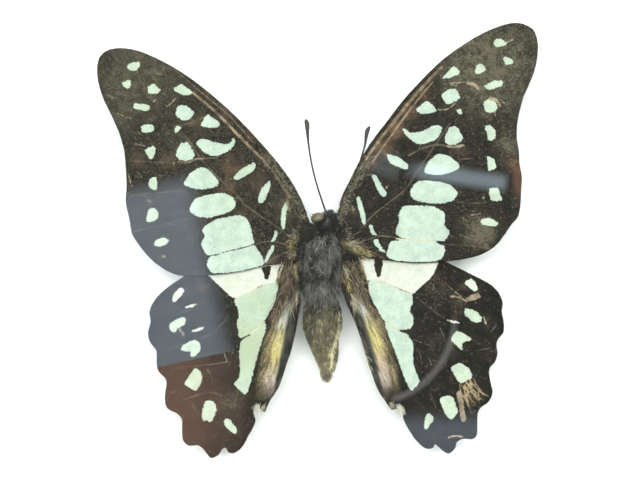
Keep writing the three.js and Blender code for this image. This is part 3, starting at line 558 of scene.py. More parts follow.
def even_steps(line, step):
    """Points spaced evenly along the smooth curve of a line"""
    curve = smooth(line, FINE_PARTS)
    run = np.concatenate([[0], np.cumsum(np.linalg.norm(np.diff(curve, axis=0), axis=1))])
    at = np.arange(0, run[-1] + step, step)
    return np.column_stack([np.interp(at, run, curve[:, axis]) for axis in (0, 1)])


def nearest_on_path(points, path):
    """Each point's distance to a path, its side of it, and how far along the path it lies, from 0 to 1"""
    best = np.full(len(points), np.inf)
    side = np.zeros(len(points))
    along = np.zeros(len(points))
    for i, (start, end) in enumerate(zip(path[:-1], path[1:])):
        run = end - start
        offset = points - start
        share = np.clip(offset @ run / (run @ run), 0, 1)
        gap = np.linalg.norm(offset - share[:, None] * run, axis=1)
        nearer = gap < best
        best[nearer] = gap[nearer]
        side[nearer] = np.sign(run[0] * offset[nearer, 1] - run[1] * offset[nearer, 0])
        along[nearer] = (i + share[nearer]) / (len(path) - 1)
    return best, side, along


def closed_path(rim):
    """A rim with its first point again at its end"""
    return np.vstack([rim, rim[0]])


def inside(points, rim):
    """Which points lie inside a closed rim"""
    crossings = np.zeros(len(points), bool)
    x, z = points.T
    for (x0, z0), (x1, z1) in zip(rim, np.roll(rim, -1, 0)):
        if z0 == z1:
            continue
        spans = (z0 > z) != (z1 > z)
        crossings ^= spans & (x < x0 + (z - z0) * (x1 - x0) / (z1 - z0))
    return crossings


def spot_depth(points, spots):
    """How deep each point lies in the nearest spot, in millimetres; below nought outside"""
    depth = np.full(len(points), -FIELD_REACH)
    for spot in spots:
        rim = smooth(spot, LINE_PARTS, closed=True)
        low, high = rim.min(0) - FIELD_REACH, rim.max(0) + FIELD_REACH
        near = np.flatnonzero(((points > low) & (points < high)).all(1))
        if len(near):
            gap = nearest_on_path(points[near], closed_path(rim))[0]
            signed = np.where(inside(points[near], rim), gap, -gap)
            depth[near] = np.maximum(depth[near], signed)
    return depth


def line_depth(points, lines):
    """How deep each point lies in the nearest line, in millimetres; below nought outside"""
    depth = np.full(len(points), -FIELD_REACH)
    for half_width, line in lines:
        gap = nearest_on_path(points, smooth(line, LINE_PARTS))[0]
        depth = np.maximum(depth, half_width - gap)
    return depth


def soft_patches(points, patches):
    """Soft round patches, as centre, radius and weight, laid over one another"""
    total = np.zeros(len(points))
    for x, z, radius, weight in patches:
        gap = np.hypot(points[:, 0] - x, points[:, 1] - z)
        total = np.maximum(total, weight * np.exp(-(gap / radius) ** 2))
    return total


def waves(points, length):
    """A gentle uneven ripple between -1 and 1"""
    x, z = (points / length * 2 * math.pi).T
    return (np.sin(x + 0.6 * np.sin(0.7 * z)) + np.sin(0.8 * z + 0.9 * np.sin(0.6 * x))) / 2


# Meshes
def mesh_arrays(mesh):
    """A mesh's points and triangles, with doubled points joined"""
    mesh.calc_loop_triangles()
    points = np.empty(len(mesh.vertices) * 3, np.float32)
    mesh.vertices.foreach_get("co", points)
    triangles = np.empty(len(mesh.loop_triangles) * 3, np.int32)
    mesh.loop_triangles.foreach_get("vertices", triangles)
    points = points.reshape(-1, 3).astype(float)
    rounded = np.round(points, DECIMALS)
    _, first, joined = np.unique(rounded, axis=0, return_index=True, return_inverse=True)
    return points[first], joined.reshape(-1)[triangles].reshape(-1, 3)


def unit(vectors):
    """Directions of length one"""
    return vectors / np.maximum(np.linalg.norm(vectors, axis=1), TINY)[:, None]


def face_normals(points, triangles):
    """Outward directions and areas of triangles"""
    a, b, c = (points[triangles[:, i]] for i in range(3))
    across = np.cross(b - a, c - a)
    return unit(across), np.linalg.norm(across, axis=1) / 2


def new_mesh(name, points, faces, fields):
    """A smooth-shaded mesh with one number per point for each named field"""
    mesh = bpy.data.meshes.new(name)
    mesh.from_pydata(np.asarray(points).tolist(), [], faces if isinstance(faces, list) else faces.tolist())
    for field, values in fields.items():
        attribute = mesh.attributes.new(field, "FLOAT", "POINT")
        attribute.data.foreach_set("value", np.asarray(values, np.float32))
    mesh.shade_smooth()
    mesh.update()
    return mesh


def new_piece(name, mesh, material, slot, *nodes):
    """A piece that rides with the frame and stands for these solids"""
    piece = bpy.data.objects.new(name, mesh)
    bpy.context.scene.collection.objects.link(piece)
    mesh.materials.append(material)
    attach(piece, "root")
    if nodes:
        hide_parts(*nodes)
    return piece


def to_board(points):
    """Across and up from the board's centre in millimetres, of points in the frame"""
    return (points[:, [0, 2]] - (CENTRE_X, CENTRE_Z)) / MM


def from_board(flat, depth):
    """Points in the frame, from across and up in millimetres and depth in metres"""
    return np.column_stack([flat[:, 0] * MM + CENTRE_X, depth, flat[:, 1] * MM + CENTRE_Z])


def surface_of(pieces):
    """One searchable surface of several pieces"""
    points, triangles, total = [], [], 0
    for piece in pieces:
        some, faces = mesh_arrays(piece.data)
        points.append(some)
        triangles.append(faces + total)
        total += len(some)
    return BVHTree.FromPolygons(np.vstack(points).tolist(), np.vstack(triangles).tolist())


def foremost(surface, flat):
    """Depth of whatever is foremost at places on the board, or nan where there is nothing"""
    depths = []
    for start in from_board(flat, np.full(len(flat), cad_box[0].y - MM)):
        hit = surface.ray_cast(Vector(start), Vector((0, 1, 0)))[0]
        depths.append(hit.y if hit else np.nan)
    return np.array(depths)


# Wings
def back_of_wing(node):
    """The rim of a wing's flat back, and the depth of its plane as slope and offset"""
    points, triangles = mesh_arrays(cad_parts[node].data)
    normals, _ = face_normals(points, triangles)
    back = triangles[normals[:, 1] > FACES_BACK]
    edges = {(a, b) for t in back.tolist() for a, b in ((t[0], t[1]), (t[1], t[2]), (t[2], t[0]))}
    following = {b: a for a, b in edges if (b, a) not in edges}
    start = next(iter(following))
    loop = [start]
    while following[loop[-1]] != start:
        loop.append(following[loop[-1]])
    plane = np.polyfit(points[loop, 0], points[loop, 1], 1)
    return to_board(points[loop]), plane


def ragged_rim(rim):
    """A smooth rim with its edge nibbled unevenly"""
    rim = smooth(rim, RIM_PARTS, closed=True)
    run = np.roll(rim, -1, 0) - np.roll(rim, 1, 0)
    outward = unit(np.column_stack([run[:, 1], -run[:, 0]]))
    return rim - outward * RIM_RAGGED * (1 + waves(rim, RIM_WAVE)[:, None]) / 2


def wing_sheet(rim, lines):
    """Points of the rim, of the fine lines and of a grid inside it, and the triangles between them"""
    low, high = rim.min(0), rim.max(0)
    rows = np.arange(low[1], high[1], WING_GRID * math.sqrt(3) / 2)
    grid = np.array([(x, z) for i, z in enumerate(rows)
                     for x in np.arange(low[0] + WING_GRID / 2 * (i % 2), high[0], WING_GRID)])
    drawn = np.vstack([even_steps(line, WING_GRID / 2) for _, line in lines])
    grid = grid[line_depth(grid, [(WING_GRID / 2, line) for _, line in lines]) < 0]
    filling = np.vstack([drawn, grid])
    filling = filling[inside(filling, rim)]
    gap = nearest_on_path(filling, closed_path(rim))[0]
    points = np.vstack([rim, filling[gap > WING_GRID / 2]])
    count = len(rim)
    loop = [(i, (i + 1) % count) for i in range(count)]
    flat, _, triangles, _, _, _ = delaunay_2d_cdt([Vector(p) for p in points], loop, [], 1, SAME_POINT)
    return np.array([tuple(p) for p in flat]), np.array(triangles), count


def rubbed_lines():
    """Fine creases that fan out over the rubbed patch"""
    spread = np.random.default_rng(SEED)
    lines = []
    for turn in np.linspace(*RUBBED_TURN, RUBBED_LINES):
        near = RUBBED_REACH[0] + spread.uniform(0, RUBBED_START_VARIES)
        far = RUBBED_REACH[1] - spread.uniform(0, RUBBED_END_VARIES)
        far = max(far, near + RUBBED_SHORTEST)
        bends = turn + spread.uniform(-RUBBED_BEND, RUBBED_BEND, 3)
        reaches = np.array([near, (near + far) / 2, far])
        line = np.column_stack([np.cos(bends), np.sin(bends)]) * reaches[:, None]
        lines.append((spread.uniform(*RUBBED_HALF_WIDTH), RUBBED_FROM + line))
    return lines


def mound_over_plane(node, flat, plane):
    """How far a hindwing's solid stands out in front of its flat plate, in millimetres"""
    plate = np.polyval(plane, flat[:, 0] * MM + CENTRE_X)
    heights = (plate - foremost(surface_of([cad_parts[node]]), flat)) / MM
    return np.nan_to_num(np.clip(heights - PLATE_THICKNESS, 0, None))


def wing_fields(flat, marks):
    """The numbers at each point of a wing that its colours are placed by"""
    fields = {name: spot_depth(flat, marks[name]) for name in SPOTS}
    fields |= {name: line_depth(flat, marks[name]) for name in LINES}
    fields |= {name: soft_patches(flat, marks[name]) for name in PATCHES}
    fields["seam"] = np.maximum(fields["seam"], spot_depth(flat, marks["notch"]))
    fields["dust"] = np.full(len(flat), marks["dust"])
    from_root = flat - marks["root"]
    fields["turn"] = np.arctan2(from_root[:, 1], np.abs(from_root[:, 0]))
    fields["reach"] = np.linalg.norm(from_root, axis=1)
    fields["fold_across"] = np.full(len(flat), NO_FOLD)
    fields["fold_along"] = np.zeros(len(flat))
    if marks["fold"]:
        gap, side, along = nearest_on_path(flat, smooth(marks["fold"], FOLD_PARTS))
        fields["fold_across"] = gap * np.sign(flat[:, 0]) * side
        fields["fold_along"] = along
    return fields


def wing_relief(node, flat, fields, plane, folded):
    """How far each point of a wing's front is raised, in millimetres"""
    from_vein = np.clip(-fields["vein"], 0, None)
    relief = RIPPLE * waves(flat, RIPPLE_LENGTH) + VEIN_RISE * np.exp(-from_vein / VEIN_SLOPE)
    if not folded:
        return relief
    groove = np.exp(-(fields["fold_across"] / GROOVE_WIDTH) ** 2)
    groove *= np.sin(np.clip(fields["fold_along"], 0, 1) * math.pi) ** GROOVE_ENDS
    return relief + mound_over_plane(node, flat, plane) * (1 - GROOVE_SHARE * groove)


def sheet_faces(triangles, rim_count, shift):
    """Triangles of a closed sheet: its front, its back, whose points come a shift later, and its wall"""
    here = np.arange(rim_count)
    beside = np.roll(here, -1)
    wall = np.vstack([np.column_stack([here, here + shift, beside]),
                      np.column_stack([beside, here + shift, beside + shift])])
    return np.vstack([triangles, triangles[:, ::-1] + shift, wall])


def build_wing(node, material):
    """A thin closed wing in place of its solid, with fields that place the markings"""
    marks = defaultdict(list, WINGS[node])
    marks["scratch"] = [(SCRATCH_HALF_WIDTH, line) for line in marks["scratch"]]
    if node == RUBBED_WING:
        marks["rubbed"] = rubbed_lines()
    rim, plane = back_of_wing(node)
    lines = [line for name in LINES for line in marks[name]]
    flat, triangles, rim_count = wing_sheet(ragged_rim(rim), lines)
    fields = wing_fields(flat, marks)
    relief = wing_relief(node, flat, fields, plane, bool(marks["fold"]))
    middle = np.polyval(plane, flat[:, 0] * MM + CENTRE_X) - WING_SETBACK * MM
    front = middle - (WING_THICKNESS / 2 + relief) * MM
    back = middle + (WING_THICKNESS / 2 - BACK_SHARE * relief.clip(-BACK_MOST, BACK_MOST)) * MM
    points = np.vstack([from_board(flat, front), from_board(flat, back)])
    faces = sheet_faces(triangles, rim_count, len(flat))
    both_sides = {name: np.tile(values, 2) for name, values in fields.items()}
    mesh = new_mesh(node + "_scaled", points, faces, both_sides)
    return new_piece(node + "_scaled", mesh, material, "wing", node)


# Markings in the order they lie over each other: edge softness and raggedness in millimetres,
# a darker and a lighter shade
WING_LAYERS = [
    ("costa", 0.10, 0.18, "#5d4f41", "#937f66"),
    ("vein", 0.05, 0.12, "#3a342a", "#625747"),
    ("scratch", 0.05, 0.12, "#4b493f", "#7a786c"),
    ("rubbed", 0.03, 0.04, "#51453a", "#9c8a6a"),
    ("mint", 0.04, 0.28, "#9aa99c", "#aebbac"),
    ("cream", 0.04, 0.28, "#9eaa97", "#adb9a6"),
    ("white", 0.05, 0.28, "#b2b4a7", "#c0c1b6"),
    ("ridge", 0.06, 0.14, "#a59d80", "#bdb79d"),
    ("tan", 0.06, 0.26, "#5a4c3d", "#9a8d78"),
    ("seam", 0.05, 0.24, "#1b1813", "#28231a"),
]
# Those that are rubbed away in places, and the shade of yellowed mint
BROKEN_MARKINGS = ("costa", "vein", "scratch")
YELLOWED_MINT = "#9ba68c"
# Wool in the fold, from the wing's base to the end of the fold
WOOL_SHADES = [
    (0.0, "#6b6b62"), (0.16, "#b5b5ab"), (0.3, "#bcb07d"), (0.5, "#bfb074"),
    (0.62, "#b6a588"), (0.74, "#baa899"), (0.86, "#ad9c8d"), (1.0, "#6f675a"),
]
# Pattern sizes in millimetres; streaks in turns to a radian, and how much closer the fine ones lie
SCALE_SIZE = 0.24
RAGGED_SIZE = 0.3
MOTTLE_SIZE = 1.6
STREAK_LENGTH = 3.0
STREAK_TURNS = 34
FINE_STREAKS = 2.6
# The part of a noise's range in which most of it lies, so that easing over it gives soft clouds
CLOUDS = (0.3, 0.7)


def wing_noise(add):
    """The patterns that all colours of the wing share, from wide clouds down to single scales"""
    place = add("TexCoord", out="Object")
    turn, reach = (add("Attribute", out="Fac", attribute_name=name) for name in ("turn", "reach"))
    turned = add("Math", [turn, STREAK_TURNS], **TIMES)
    reached = add("Math", [reach, 1 / STREAK_LENGTH], **TIMES)
    from_base = add("CombineXYZ", [turned, reached])
    rows = {
        "ragged": (place, per_metre(RAGGED_SIZE), 2.0, 0.5),
        "mottle": (place, per_metre(MOTTLE_SIZE), 5.0, 0.62),
        "grain": (place, per_metre(SCALE_SIZE), 2.0, 0.7),
        "streaks": (from_base, 1.0, 3.0, 0.6),
        "fine": (from_base, FINE_STREAKS, 2.0, 0.6),
    }
    noise = {}
    for name, (where, scale, detail, roughness) in rows.items():
        noise[name] = add("TexNoise", {
            "Vector": where, "Scale": scale, "Detail": detail, "Roughness": roughness})
    cells = add("TexVoronoi", {"Vector": place, "Scale": per_metre(SCALE_SIZE)}, out="Color")
    noise["speck"] = add("SeparateColor", [cells])
    return noise


def velvet_ground(add, noise, field):
    """Velvet black, sprinkled with olive scales towards the tip and brown ones where it is warm,
    rubbed in streaks from the base outwards, with single pale scales"""
    mottle, grain = noise["mottle"], noise["grain"]
    broken = eased_product(add, (mottle, *CLOUDS, 0.8, 1.15))
    layers = [
        (eased_product(add, (mottle, *CLOUDS)), "#1b1813"),
        (eased_product(add, (grain, 0.45, 0.7), (field["dust"],)), "#5a5445"),
    ]
    for name, shade in (("pale", "#5d5848"), ("warm", "#5e4a39")):
        weight = add("Math", [field[name], broken], **TIMES)
        lacking = add("Math", [weight, grain], **LESS)
        layers.append((eased_product(add, (lacking, -0.16, 0.16, 0.0, 0.85)), shade))
    layers += [
        (eased_product(add, (noise["streaks"], 0.55, 0.72, 0.0, 0.5), (grain, 0.35, 0.65)), "#4f4636"),
        (eased_product(add, (noise["fine"], 0.58, 0.76), (field["dust"],)), "#6c6453"),
        (eased_product(add, (noise["speck"], 0.94, 1.0, 0.0, 0.3)), "#7b705c"),
    ]
    return laid_over(add, "#0c0b08", *layers)


def wool_shades(add, along):
    """The colours of the wool along the fold"""
    colour = add("ValToRGB", [along])
    ramp = colour.node.color_ramp.elements
    while len(ramp) < len(WOOL_SHADES):
        ramp.new(0.5)
    for stop, (position, shade) in zip(ramp, WOOL_SHADES):
        stop.position = position
        stop.color = linear(shade)
    return colour


def rolled_margin(add, noise, field, ground):
    """The hindwing's rolled inner margin: brown outer bank, dark flap, pale matted wool in the groove.
    Spans are millimetres across the fold, which opens out from the wing's base."""
    streaks, grain, along = noise["streaks"], noise["grain"], field["fold_along"]
    opening = eased_product(add, (along, 0.0, 0.35, 0.45, 1.0))
    across = add("Math", [field["fold_across"], opening], operation="DIVIDE")
    on_fold = eased_product(add, (along, 0.0, 0.06), (along, 1.0, 0.72))
    fibres = eased_product(add, (streaks, *CLOUDS))
    bank_fibres = eased_product(add, (fibres,), (grain, 0.3, 0.6))
    bank = eased_product(add, (across, 2.4, 1.2), (across, 0.3, 0.9), (on_fold,))
    flap = eased_product(add, (across, -0.3, -0.8), (across, -3.0, -2.0), (on_fold,))
    matted = eased_product(add, (streaks, 0.32, 0.6, 0.3, 1.0), (grain, 0.34, 0.52, 0.45, 1.0))
    wool = eased_product(add, (across, -1.25, -0.6), (across, 1.25, 0.15), (on_fold,), (matted,))
    return laid_over(
        add, ground,
        (bank, laid_over(add, "#383022", (bank_fibres, "#988a68"))),
        (flap, laid_over(add, "#181815", (fibres, "#4a4943"))),
        (wool, wool_shades(add, along)))


def wing_markings(add, noise, field, colour):
    """The windows, spots and lines, each with a ragged edge and two clouded shades"""
    uneven = add("Math", [noise["ragged"], 0.5], **LESS)
    clouds = eased_product(add, (noise["mottle"], *CLOUDS))
    patchy = eased_product(add, (noise["mottle"], 0.3, 0.6, 0.5, 1.0))
    for name, softness, ragged, dark, light in WING_LAYERS:
        edge = add("Math", [uneven, ragged * 2, field[name]], **TIMES_PLUS)
        spans = [(edge, -softness, softness)]
        if name in BROKEN_MARKINGS:
            spans.append((patchy,))
        shade = laid_over(add, dark, (clouds, light))
        if name == "mint":
            shade = laid_over(add, shade, (field["yellowed"], YELLOWED_MINT))
        colour = laid_over(add, colour, (eased_product(add, *spans), shade))
    return colour


def wing_scales():
    """Dry butterfly wing. Dust-fine overlapping scales make a matt, velvety surface with ragged colour
    edges, rubbed to brown membrane along the veins. Real scales are 0.1 mm and are drawn at more than
    twice that."""
    material, add = new_material("butterfly_wing_scales")
    noise = wing_noise(add)
    names = [layer[0] for layer in WING_LAYERS] + [*PATCHES, "dust", "fold_across", "fold_along"]
    field = {name: add("Attribute", out="Fac", attribute_name=name) for name in names}
    colour = velvet_ground(add, noise, field)
    colour = rolled_margin(add, noise, field, colour)
    colour = wing_markings(add, noise, field, colour)
    between_scales = eased_product(add, (noise["grain"], 0.5, 0.8, 0.0, 0.3))
    colour = laid_over(add, colour, (between_scales, "#0d0c09"))
    finish_surface(add, colour, noise["grain"], height_mm=0.02,
                   Roughness=0.75, IOR=1.55, Specular_IOR_Level=0.05)
    return material


# Body: smooth parts between two rings of a solid, sides of its skin, and what counts as one level in metres
ABDOMEN_PARTS = 4
ABDOMEN_SIDES = 44
ANTENNA_PARTS = 5
ANTENNA_SIDES = 10
SAME_LEVEL = 2e-6
# Abdomen: scale of its rings inside the solid, then its segments' length in millimetres, pinch and seam
ABDOMEN_SWELL = 0.97
SEGMENT_LENGTH = 1.65
SEGMENT_PINCH = 0.05
SEGMENT_SEAM = 0.14
# Its pale side stripe as half widths and points, and how far behind the middle it still shows
STRIPE = [
    (0.06, [(3.0, -11.4), (2.95, -13.0), (3.0, -14.4)]),
    (0.22, [(2.98, -14.5), (2.66, -15.6)]),
    (0.14, [(2.66, -15.6), (2.29, -16.7), (1.95, -18.0)]),
    (0.22, [(1.92, -18.2), (1.92, -19.3), (1.74, -20.4)]),
]
STRIPE_BACK = 0.5
# Antenna: scale of its rings, and the spacing in millimetres and rise of its ringing
ANTENNA_SWELL = 1.2
RING_SPACING = 0.32
RING_RISE = 0.07
# Eye: detail of the ball, its scale inside the solid, and the depth and closeness of its dents
EYE_DETAIL = 5
EYE_SWELL = 0.985
EYE_DENT = 0.012
EYE_DENT_WAVES = (9, 2, 8)
# Skins of thorax and head: size of their cells in millimetres and rounds of melting
SKINS = {"thorax": (0.14, 6), "head": (0.12, 4)}
MELT_SHARE = 0.5
# Patterns of the body's finishes, in millimetres
CUTICLE_DUST = 0.5
ABDOMEN_GRAIN = 0.3
ABDOMEN_MOTTLE = 2.0
HORN_GRAIN = 0.25
EYE_FACET = 0.09
EYE_CLOUD = 0.7
HAIR_DUST = 1.2


def level_rings(node):
    """Centre and half widths of each level ring of an upright solid, in metres, from the lowest up"""
    points, _ = mesh_arrays(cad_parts[node].data)
    rings = []
    for level in np.unique(np.round(points[:, 2], DECIMALS)):
        ring = points[np.abs(points[:, 2] - level) < SAME_LEVEL]
        low, high = ring.min(0), ring.max(0)
        rings.append([*(low + high) / 2, *(high - low)[:2] / 2])
    return np.array(rings)


def ring_skin(rings, sides, swell):
    """Points and faces of a closed skin over rings; swell scales each ring"""
    turn = np.arange(sides) / sides * 2 * math.pi
    points = []
    for (x, y, z, wide, deep), scale in zip(rings, swell):
        points.append(np.column_stack([
            x + wide * scale * np.cos(turn), y + deep * scale * np.sin(turn), np.full(sides, z)]))
    faces = [list(range(sides))[::-1]]
    for row in range(len(rings) - 1):
        for side in range(sides):
            beside = (side + 1) % sides
            low, high = row * sides, (row + 1) * sides
            faces.append([low + side, low + beside, high + beside, high + side])
    faces.append([(len(rings) - 1) * sides + side for side in range(sides)])
    return np.vstack(points), faces


def down_abdomen_share(points):
    """How far down the abdomen points are, from 0 at its top to 1 at its tip"""
    low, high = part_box("abdomen")
    return (high.z - points[:, 2]) / (high.z - low.z)


def build_abdomen(material):
    """Tapered abdomen with pinched segments and a pale stripe along its right side"""
    rings = smooth(level_rings("abdomen"), ABDOMEN_PARTS)
    segment = (rings[:, 2].max() - rings[:, 2]) / (SEGMENT_LENGTH * MM) % 1
    swell = ABDOMEN_SWELL - SEGMENT_PINCH * np.exp(-((segment - 0.5) / SEGMENT_SEAM) ** 2)
    points, faces = ring_skin(rings, ABDOMEN_SIDES, swell)
    in_front = points[:, 1] < np.repeat(rings[:, 1], ABDOMEN_SIDES) + STRIPE_BACK * MM
    stripe = np.where(in_front, line_depth(to_board(points), STRIPE), -FIELD_REACH)
    mesh = new_mesh("abdomen_skin", points, faces, {"stripe": stripe, "down": down_abdomen_share(points)})
    return new_piece("abdomen_skin", mesh, material, "body_hair", "abdomen")


def build_antenna(node, material):
    """Antenna with its close rings and club"""
    rings = smooth(level_rings(node), ANTENNA_PARTS)
    rings[:, 4] = rings[:, 3]
    run = np.linalg.norm(np.diff(rings[:, :3], axis=0), axis=1)
    along = np.concatenate([[0], np.cumsum(run)]) / (RING_SPACING * MM)
    swell = ANTENNA_SWELL + RING_RISE * np.cos(along * 2 * math.pi)
    points, faces = ring_skin(rings, ANTENNA_SIDES, swell)
    club = np.repeat(rings[:, 3] / MM, ANTENNA_SIDES)
    mesh = new_mesh(node + "_ringed", points, faces, {"club": club})
    return new_piece(node + "_ringed", mesh, material, "antenna", node)


def softened(node, material):
    """A solid's form with its facets melted to an even, rounded skin"""
    cell_mm, rounds = SKINS[node]
    piece = new_piece(node + "_skin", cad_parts[node].data.copy(), material, "body_hair", node)
    piece.data.materials.clear()
    remesh = piece.modifiers.new("Even skin", "REMESH")
    remesh.mode = "VOXEL"
    remesh.voxel_size = cell_mm * MM
    melt = piece.modifiers.new("Melt facets", "SMOOTH")
    melt.factor = MELT_SHARE
    melt.iterations = rounds
    bpy.context.view_layer.update()
    melted = bpy.data.meshes.new_from_object(piece.evaluated_get(bpy.context.evaluated_depsgraph_get()))
    piece.modifiers.clear()
    piece.data = melted
    melted.materials.clear()
    melted.materials.append(material)
    melted.shade_smooth()
    return piece


def build_eye(node, material):
    """A bulging, slightly dented eye in the place of its solid"""
    low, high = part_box(node)
    ball = bmesh.new()
    bmesh.ops.create_icosphere(ball, subdivisions=EYE_DETAIL, radius=1)
    ball.verts.index_update()
    away = np.array([vertex.co for vertex in ball.verts])
    faces = [[vertex.index for vertex in face.verts] for face in ball.faces]
    ball.free()
    across, aslant, up = EYE_DENT_WAVES
    dents = np.sin(across * away[:, 0] + aslant * away[:, 2]) * np.cos(up * away[:, 2])
    away = away * EYE_SWELL * (1 + EYE_DENT * dents[:, None])
    points = away * np.array(high - low) / 2 + np.array(low + high) / 2
    # rim: distance from the ball's middle as seen from the front, which the finish darkens as painted shade
    fields = {"rim": np.hypot(away[:, 0], away[:, 2]), "aside": away[:, 0]}
    mesh = new_mesh(node + "_faceted", points, faces, fields)
    return new_piece(node + "_faceted", mesh, material, "eye", node)


def body_skin():
    """Insect cuticle under the hair: hard, dark and slightly glossy, dulled by dust"""
    material, add = new_material("insect_cuticle")
    place = add("TexCoord", out="Object")
    dust = add("TexNoise", {"Vector": place, "Scale": per_metre(CUTICLE_DUST), "Detail": 4.0})
    colour = laid_over(add, "#0b0a08", (dust, "#1e1c17"))
    finish_surface(add, colour, dust, height_mm=0.05, Roughness=0.6, IOR=1.55)
    return material


def abdomen_scales():
    """Abdomen cuticle under short scales: brown-grey and granular, paler towards the tip, with a cream
    side stripe"""
    material, add = new_material("abdomen_scales")
    place = add("TexCoord", out="Object")
    grain = add("TexNoise", {
        "Vector": place, "Scale": per_metre(ABDOMEN_GRAIN), "Detail": 3.0, "Roughness": 0.7})
    mottle = add("TexNoise", {"Vector": place, "Scale": per_metre(ABDOMEN_MOTTLE), "Detail": 3.0})
    down = add("Attribute", out="Fac", attribute_name="down")
    stripe = add("Attribute", out="Fac", attribute_name="stripe")
    patchy = add("Math", [grain, mottle], operation="ADD")
    paler = add("Math", [down, 0.4, patchy], **TIMES_PLUS)
    ragged = add("Math", [grain, 0.5, stripe], **TIMES_PLUS)
    colour = laid_over(
        add, "#1b180f",
        (add("MapRange", [paler, 0.9, 1.5]), "#6f674c"),
        (add("MapRange", [ragged, 0.15, 0.35]), "#d0c69a"))
    finish_surface(add, colour, grain, height_mm=0.06, Roughness=0.65, IOR=1.55)
    return material


def antenna_horn():
    """Antenna cuticle: smooth dark horn, ringed, with a duller brown club"""
    material, add = new_material("antenna_horn")
    place = add("TexCoord", out="Object")
    grain = add("TexNoise", {"Vector": place, "Scale": per_metre(HORN_GRAIN), "Detail": 2.0})
    club = add("Attribute", out="Fac", attribute_name="club")
    colour = laid_over(add, "#100f0d", (grain, "#201d19"), (add("MapRange", [club, 0.16, 0.33]), "#2e2b26"))
    finish_surface(add, colour, grain, height_mm=0.01, Roughness=0.45, IOR=1.55)
    return material


def dried_eye():
    """Dried compound eye: tan and glossy, pink at one side, with facets, and with painted shade that
    darkens it to brown towards its rim.
    Real facets are 0.03 mm and are drawn at 0.09 mm."""
    material, add = new_material("dried_compound_eye")
    place = add("TexCoord", out="Object")
    facets = add("TexVoronoi", {"Vector": place, "Scale": per_metre(EYE_FACET)})
    cloud = add("TexNoise", {"Vector": place, "Scale": per_metre(EYE_CLOUD), "Detail": 3.0})
    rim = add("Attribute", out="Fac", attribute_name="rim")
    aside = add("Attribute", out="Fac", attribute_name="aside")
    colour = laid_over(
        add, "#4f482f",
        (cloud, "#7d7454"),
        # Painted shade: darker brown towards the rim, where the ball turns away
        (add("MapRange", [rim, 0.55, 1.05]), "#3b2f1d"),
        (add("MapRange", [aside, 0.4, 0.9]), "#7d6050"))
    finish_surface(add, colour, facets, height_mm=-0.02, Roughness=0.32, IOR=1.55)
    return material


# Hair: steps along a strand, its sides, how it narrows, and a direction that no hair lies along
STRAND_STEPS = 4
STRAND_SIDES = 3
TAPER = 0.7
ASLANT = (0.31, 0.87, 0.38)
# Coats on the body: number of hairs, hairs to a lock, mess of their heading, and in millimetres their
# lengths, lifts and width
COATS = {
    "thorax_hair": (6400, 16, 0.6, (0.8, 2.8), (0.1, 0.6), 0.07),
    "thorax_long_hair": (620, 1, 0.8, (1.2, 3.2), (0.3, 0.8), 0.075),
    "abdomen_hair": (3600, 4, 0.4, (0.5, 1.2), (0.05, 0.2), 0.065),
    "head_hair": (1200, 5, 0.4, (0.3, 0.8), (0.2, 0.5), 0.08),
}
# How far a lock draws its hairs' tips and shades together, how rare pale hairs are, and how much painted
# shade darkens them where the body's surface turns to its sides
LOCK_PULL = 0.55
LOCK_SHADE = 0.75
FEW_PALE = 3.0
SIDES_PAINTED_SHADE = 0.6
# Where a hair bends along its length and above its lift, how widths vary, and how deep its root sits
BEND_PLACE = 0.45
BEND_LIFT = 1.2
WIDTHS_VARY = (0.6, 1.0)
ROOT_DEPTH = 0.05
# Abdomen hair: raggedness of its stripe, and how much paler it is at the tip and darker at the top
STRIPE_RAGGED = 0.12
TIP_PALER = 0.4
TOP_DARKER = 0.08
# Tufts: width in millimetres and how it varies, spread about their line, lengths, mess of their heading,
# lifts, and the most that a tip may lie behind or before its root
TUFT_WIDTH = 0.07
TUFT_WIDTHS_VARY = (0.6, 1.2)
TUFT_SPREAD = 1.6
TUFT_LENGTHS_VARY = (0.5, 1.0)
TUFT_MESS = 0.4
TUFT_LIFTS = (0.08, 0.4)
TUFT_BEND_LIFT = 1.6
TUFT_MOST_DEPTH = 0.6
# Shades of hair: name of the material, its darkest and palest hairs, and the abdomen's stripe
HAIR_SHADES = {
    "grey": ("thorax_hair", "#060605", "#a2a296"),
    "silver": ("silver_hair", "#3a3a36", "#bcbcb2"),
    "black": ("head_hair", "#040403", "#3a3933"),
    "brown": ("abdomen_hair", "#100e08", "#b9ad82", "#e4dab6"),
    "ochre": ("ochre_hair", "#43371d", "#dcc585"),
    "pale": ("pale_hair", "#7d745d", "#ded5b6"),
    "russet": ("russet_hair", "#3a2f25", "#b89f84"),
    "grizzled": ("grizzled_hair", "#1d1b14", "#cfc9a9"),
    "white": ("white_hair", "#c2c0b0", "#e6e4d4"),
}
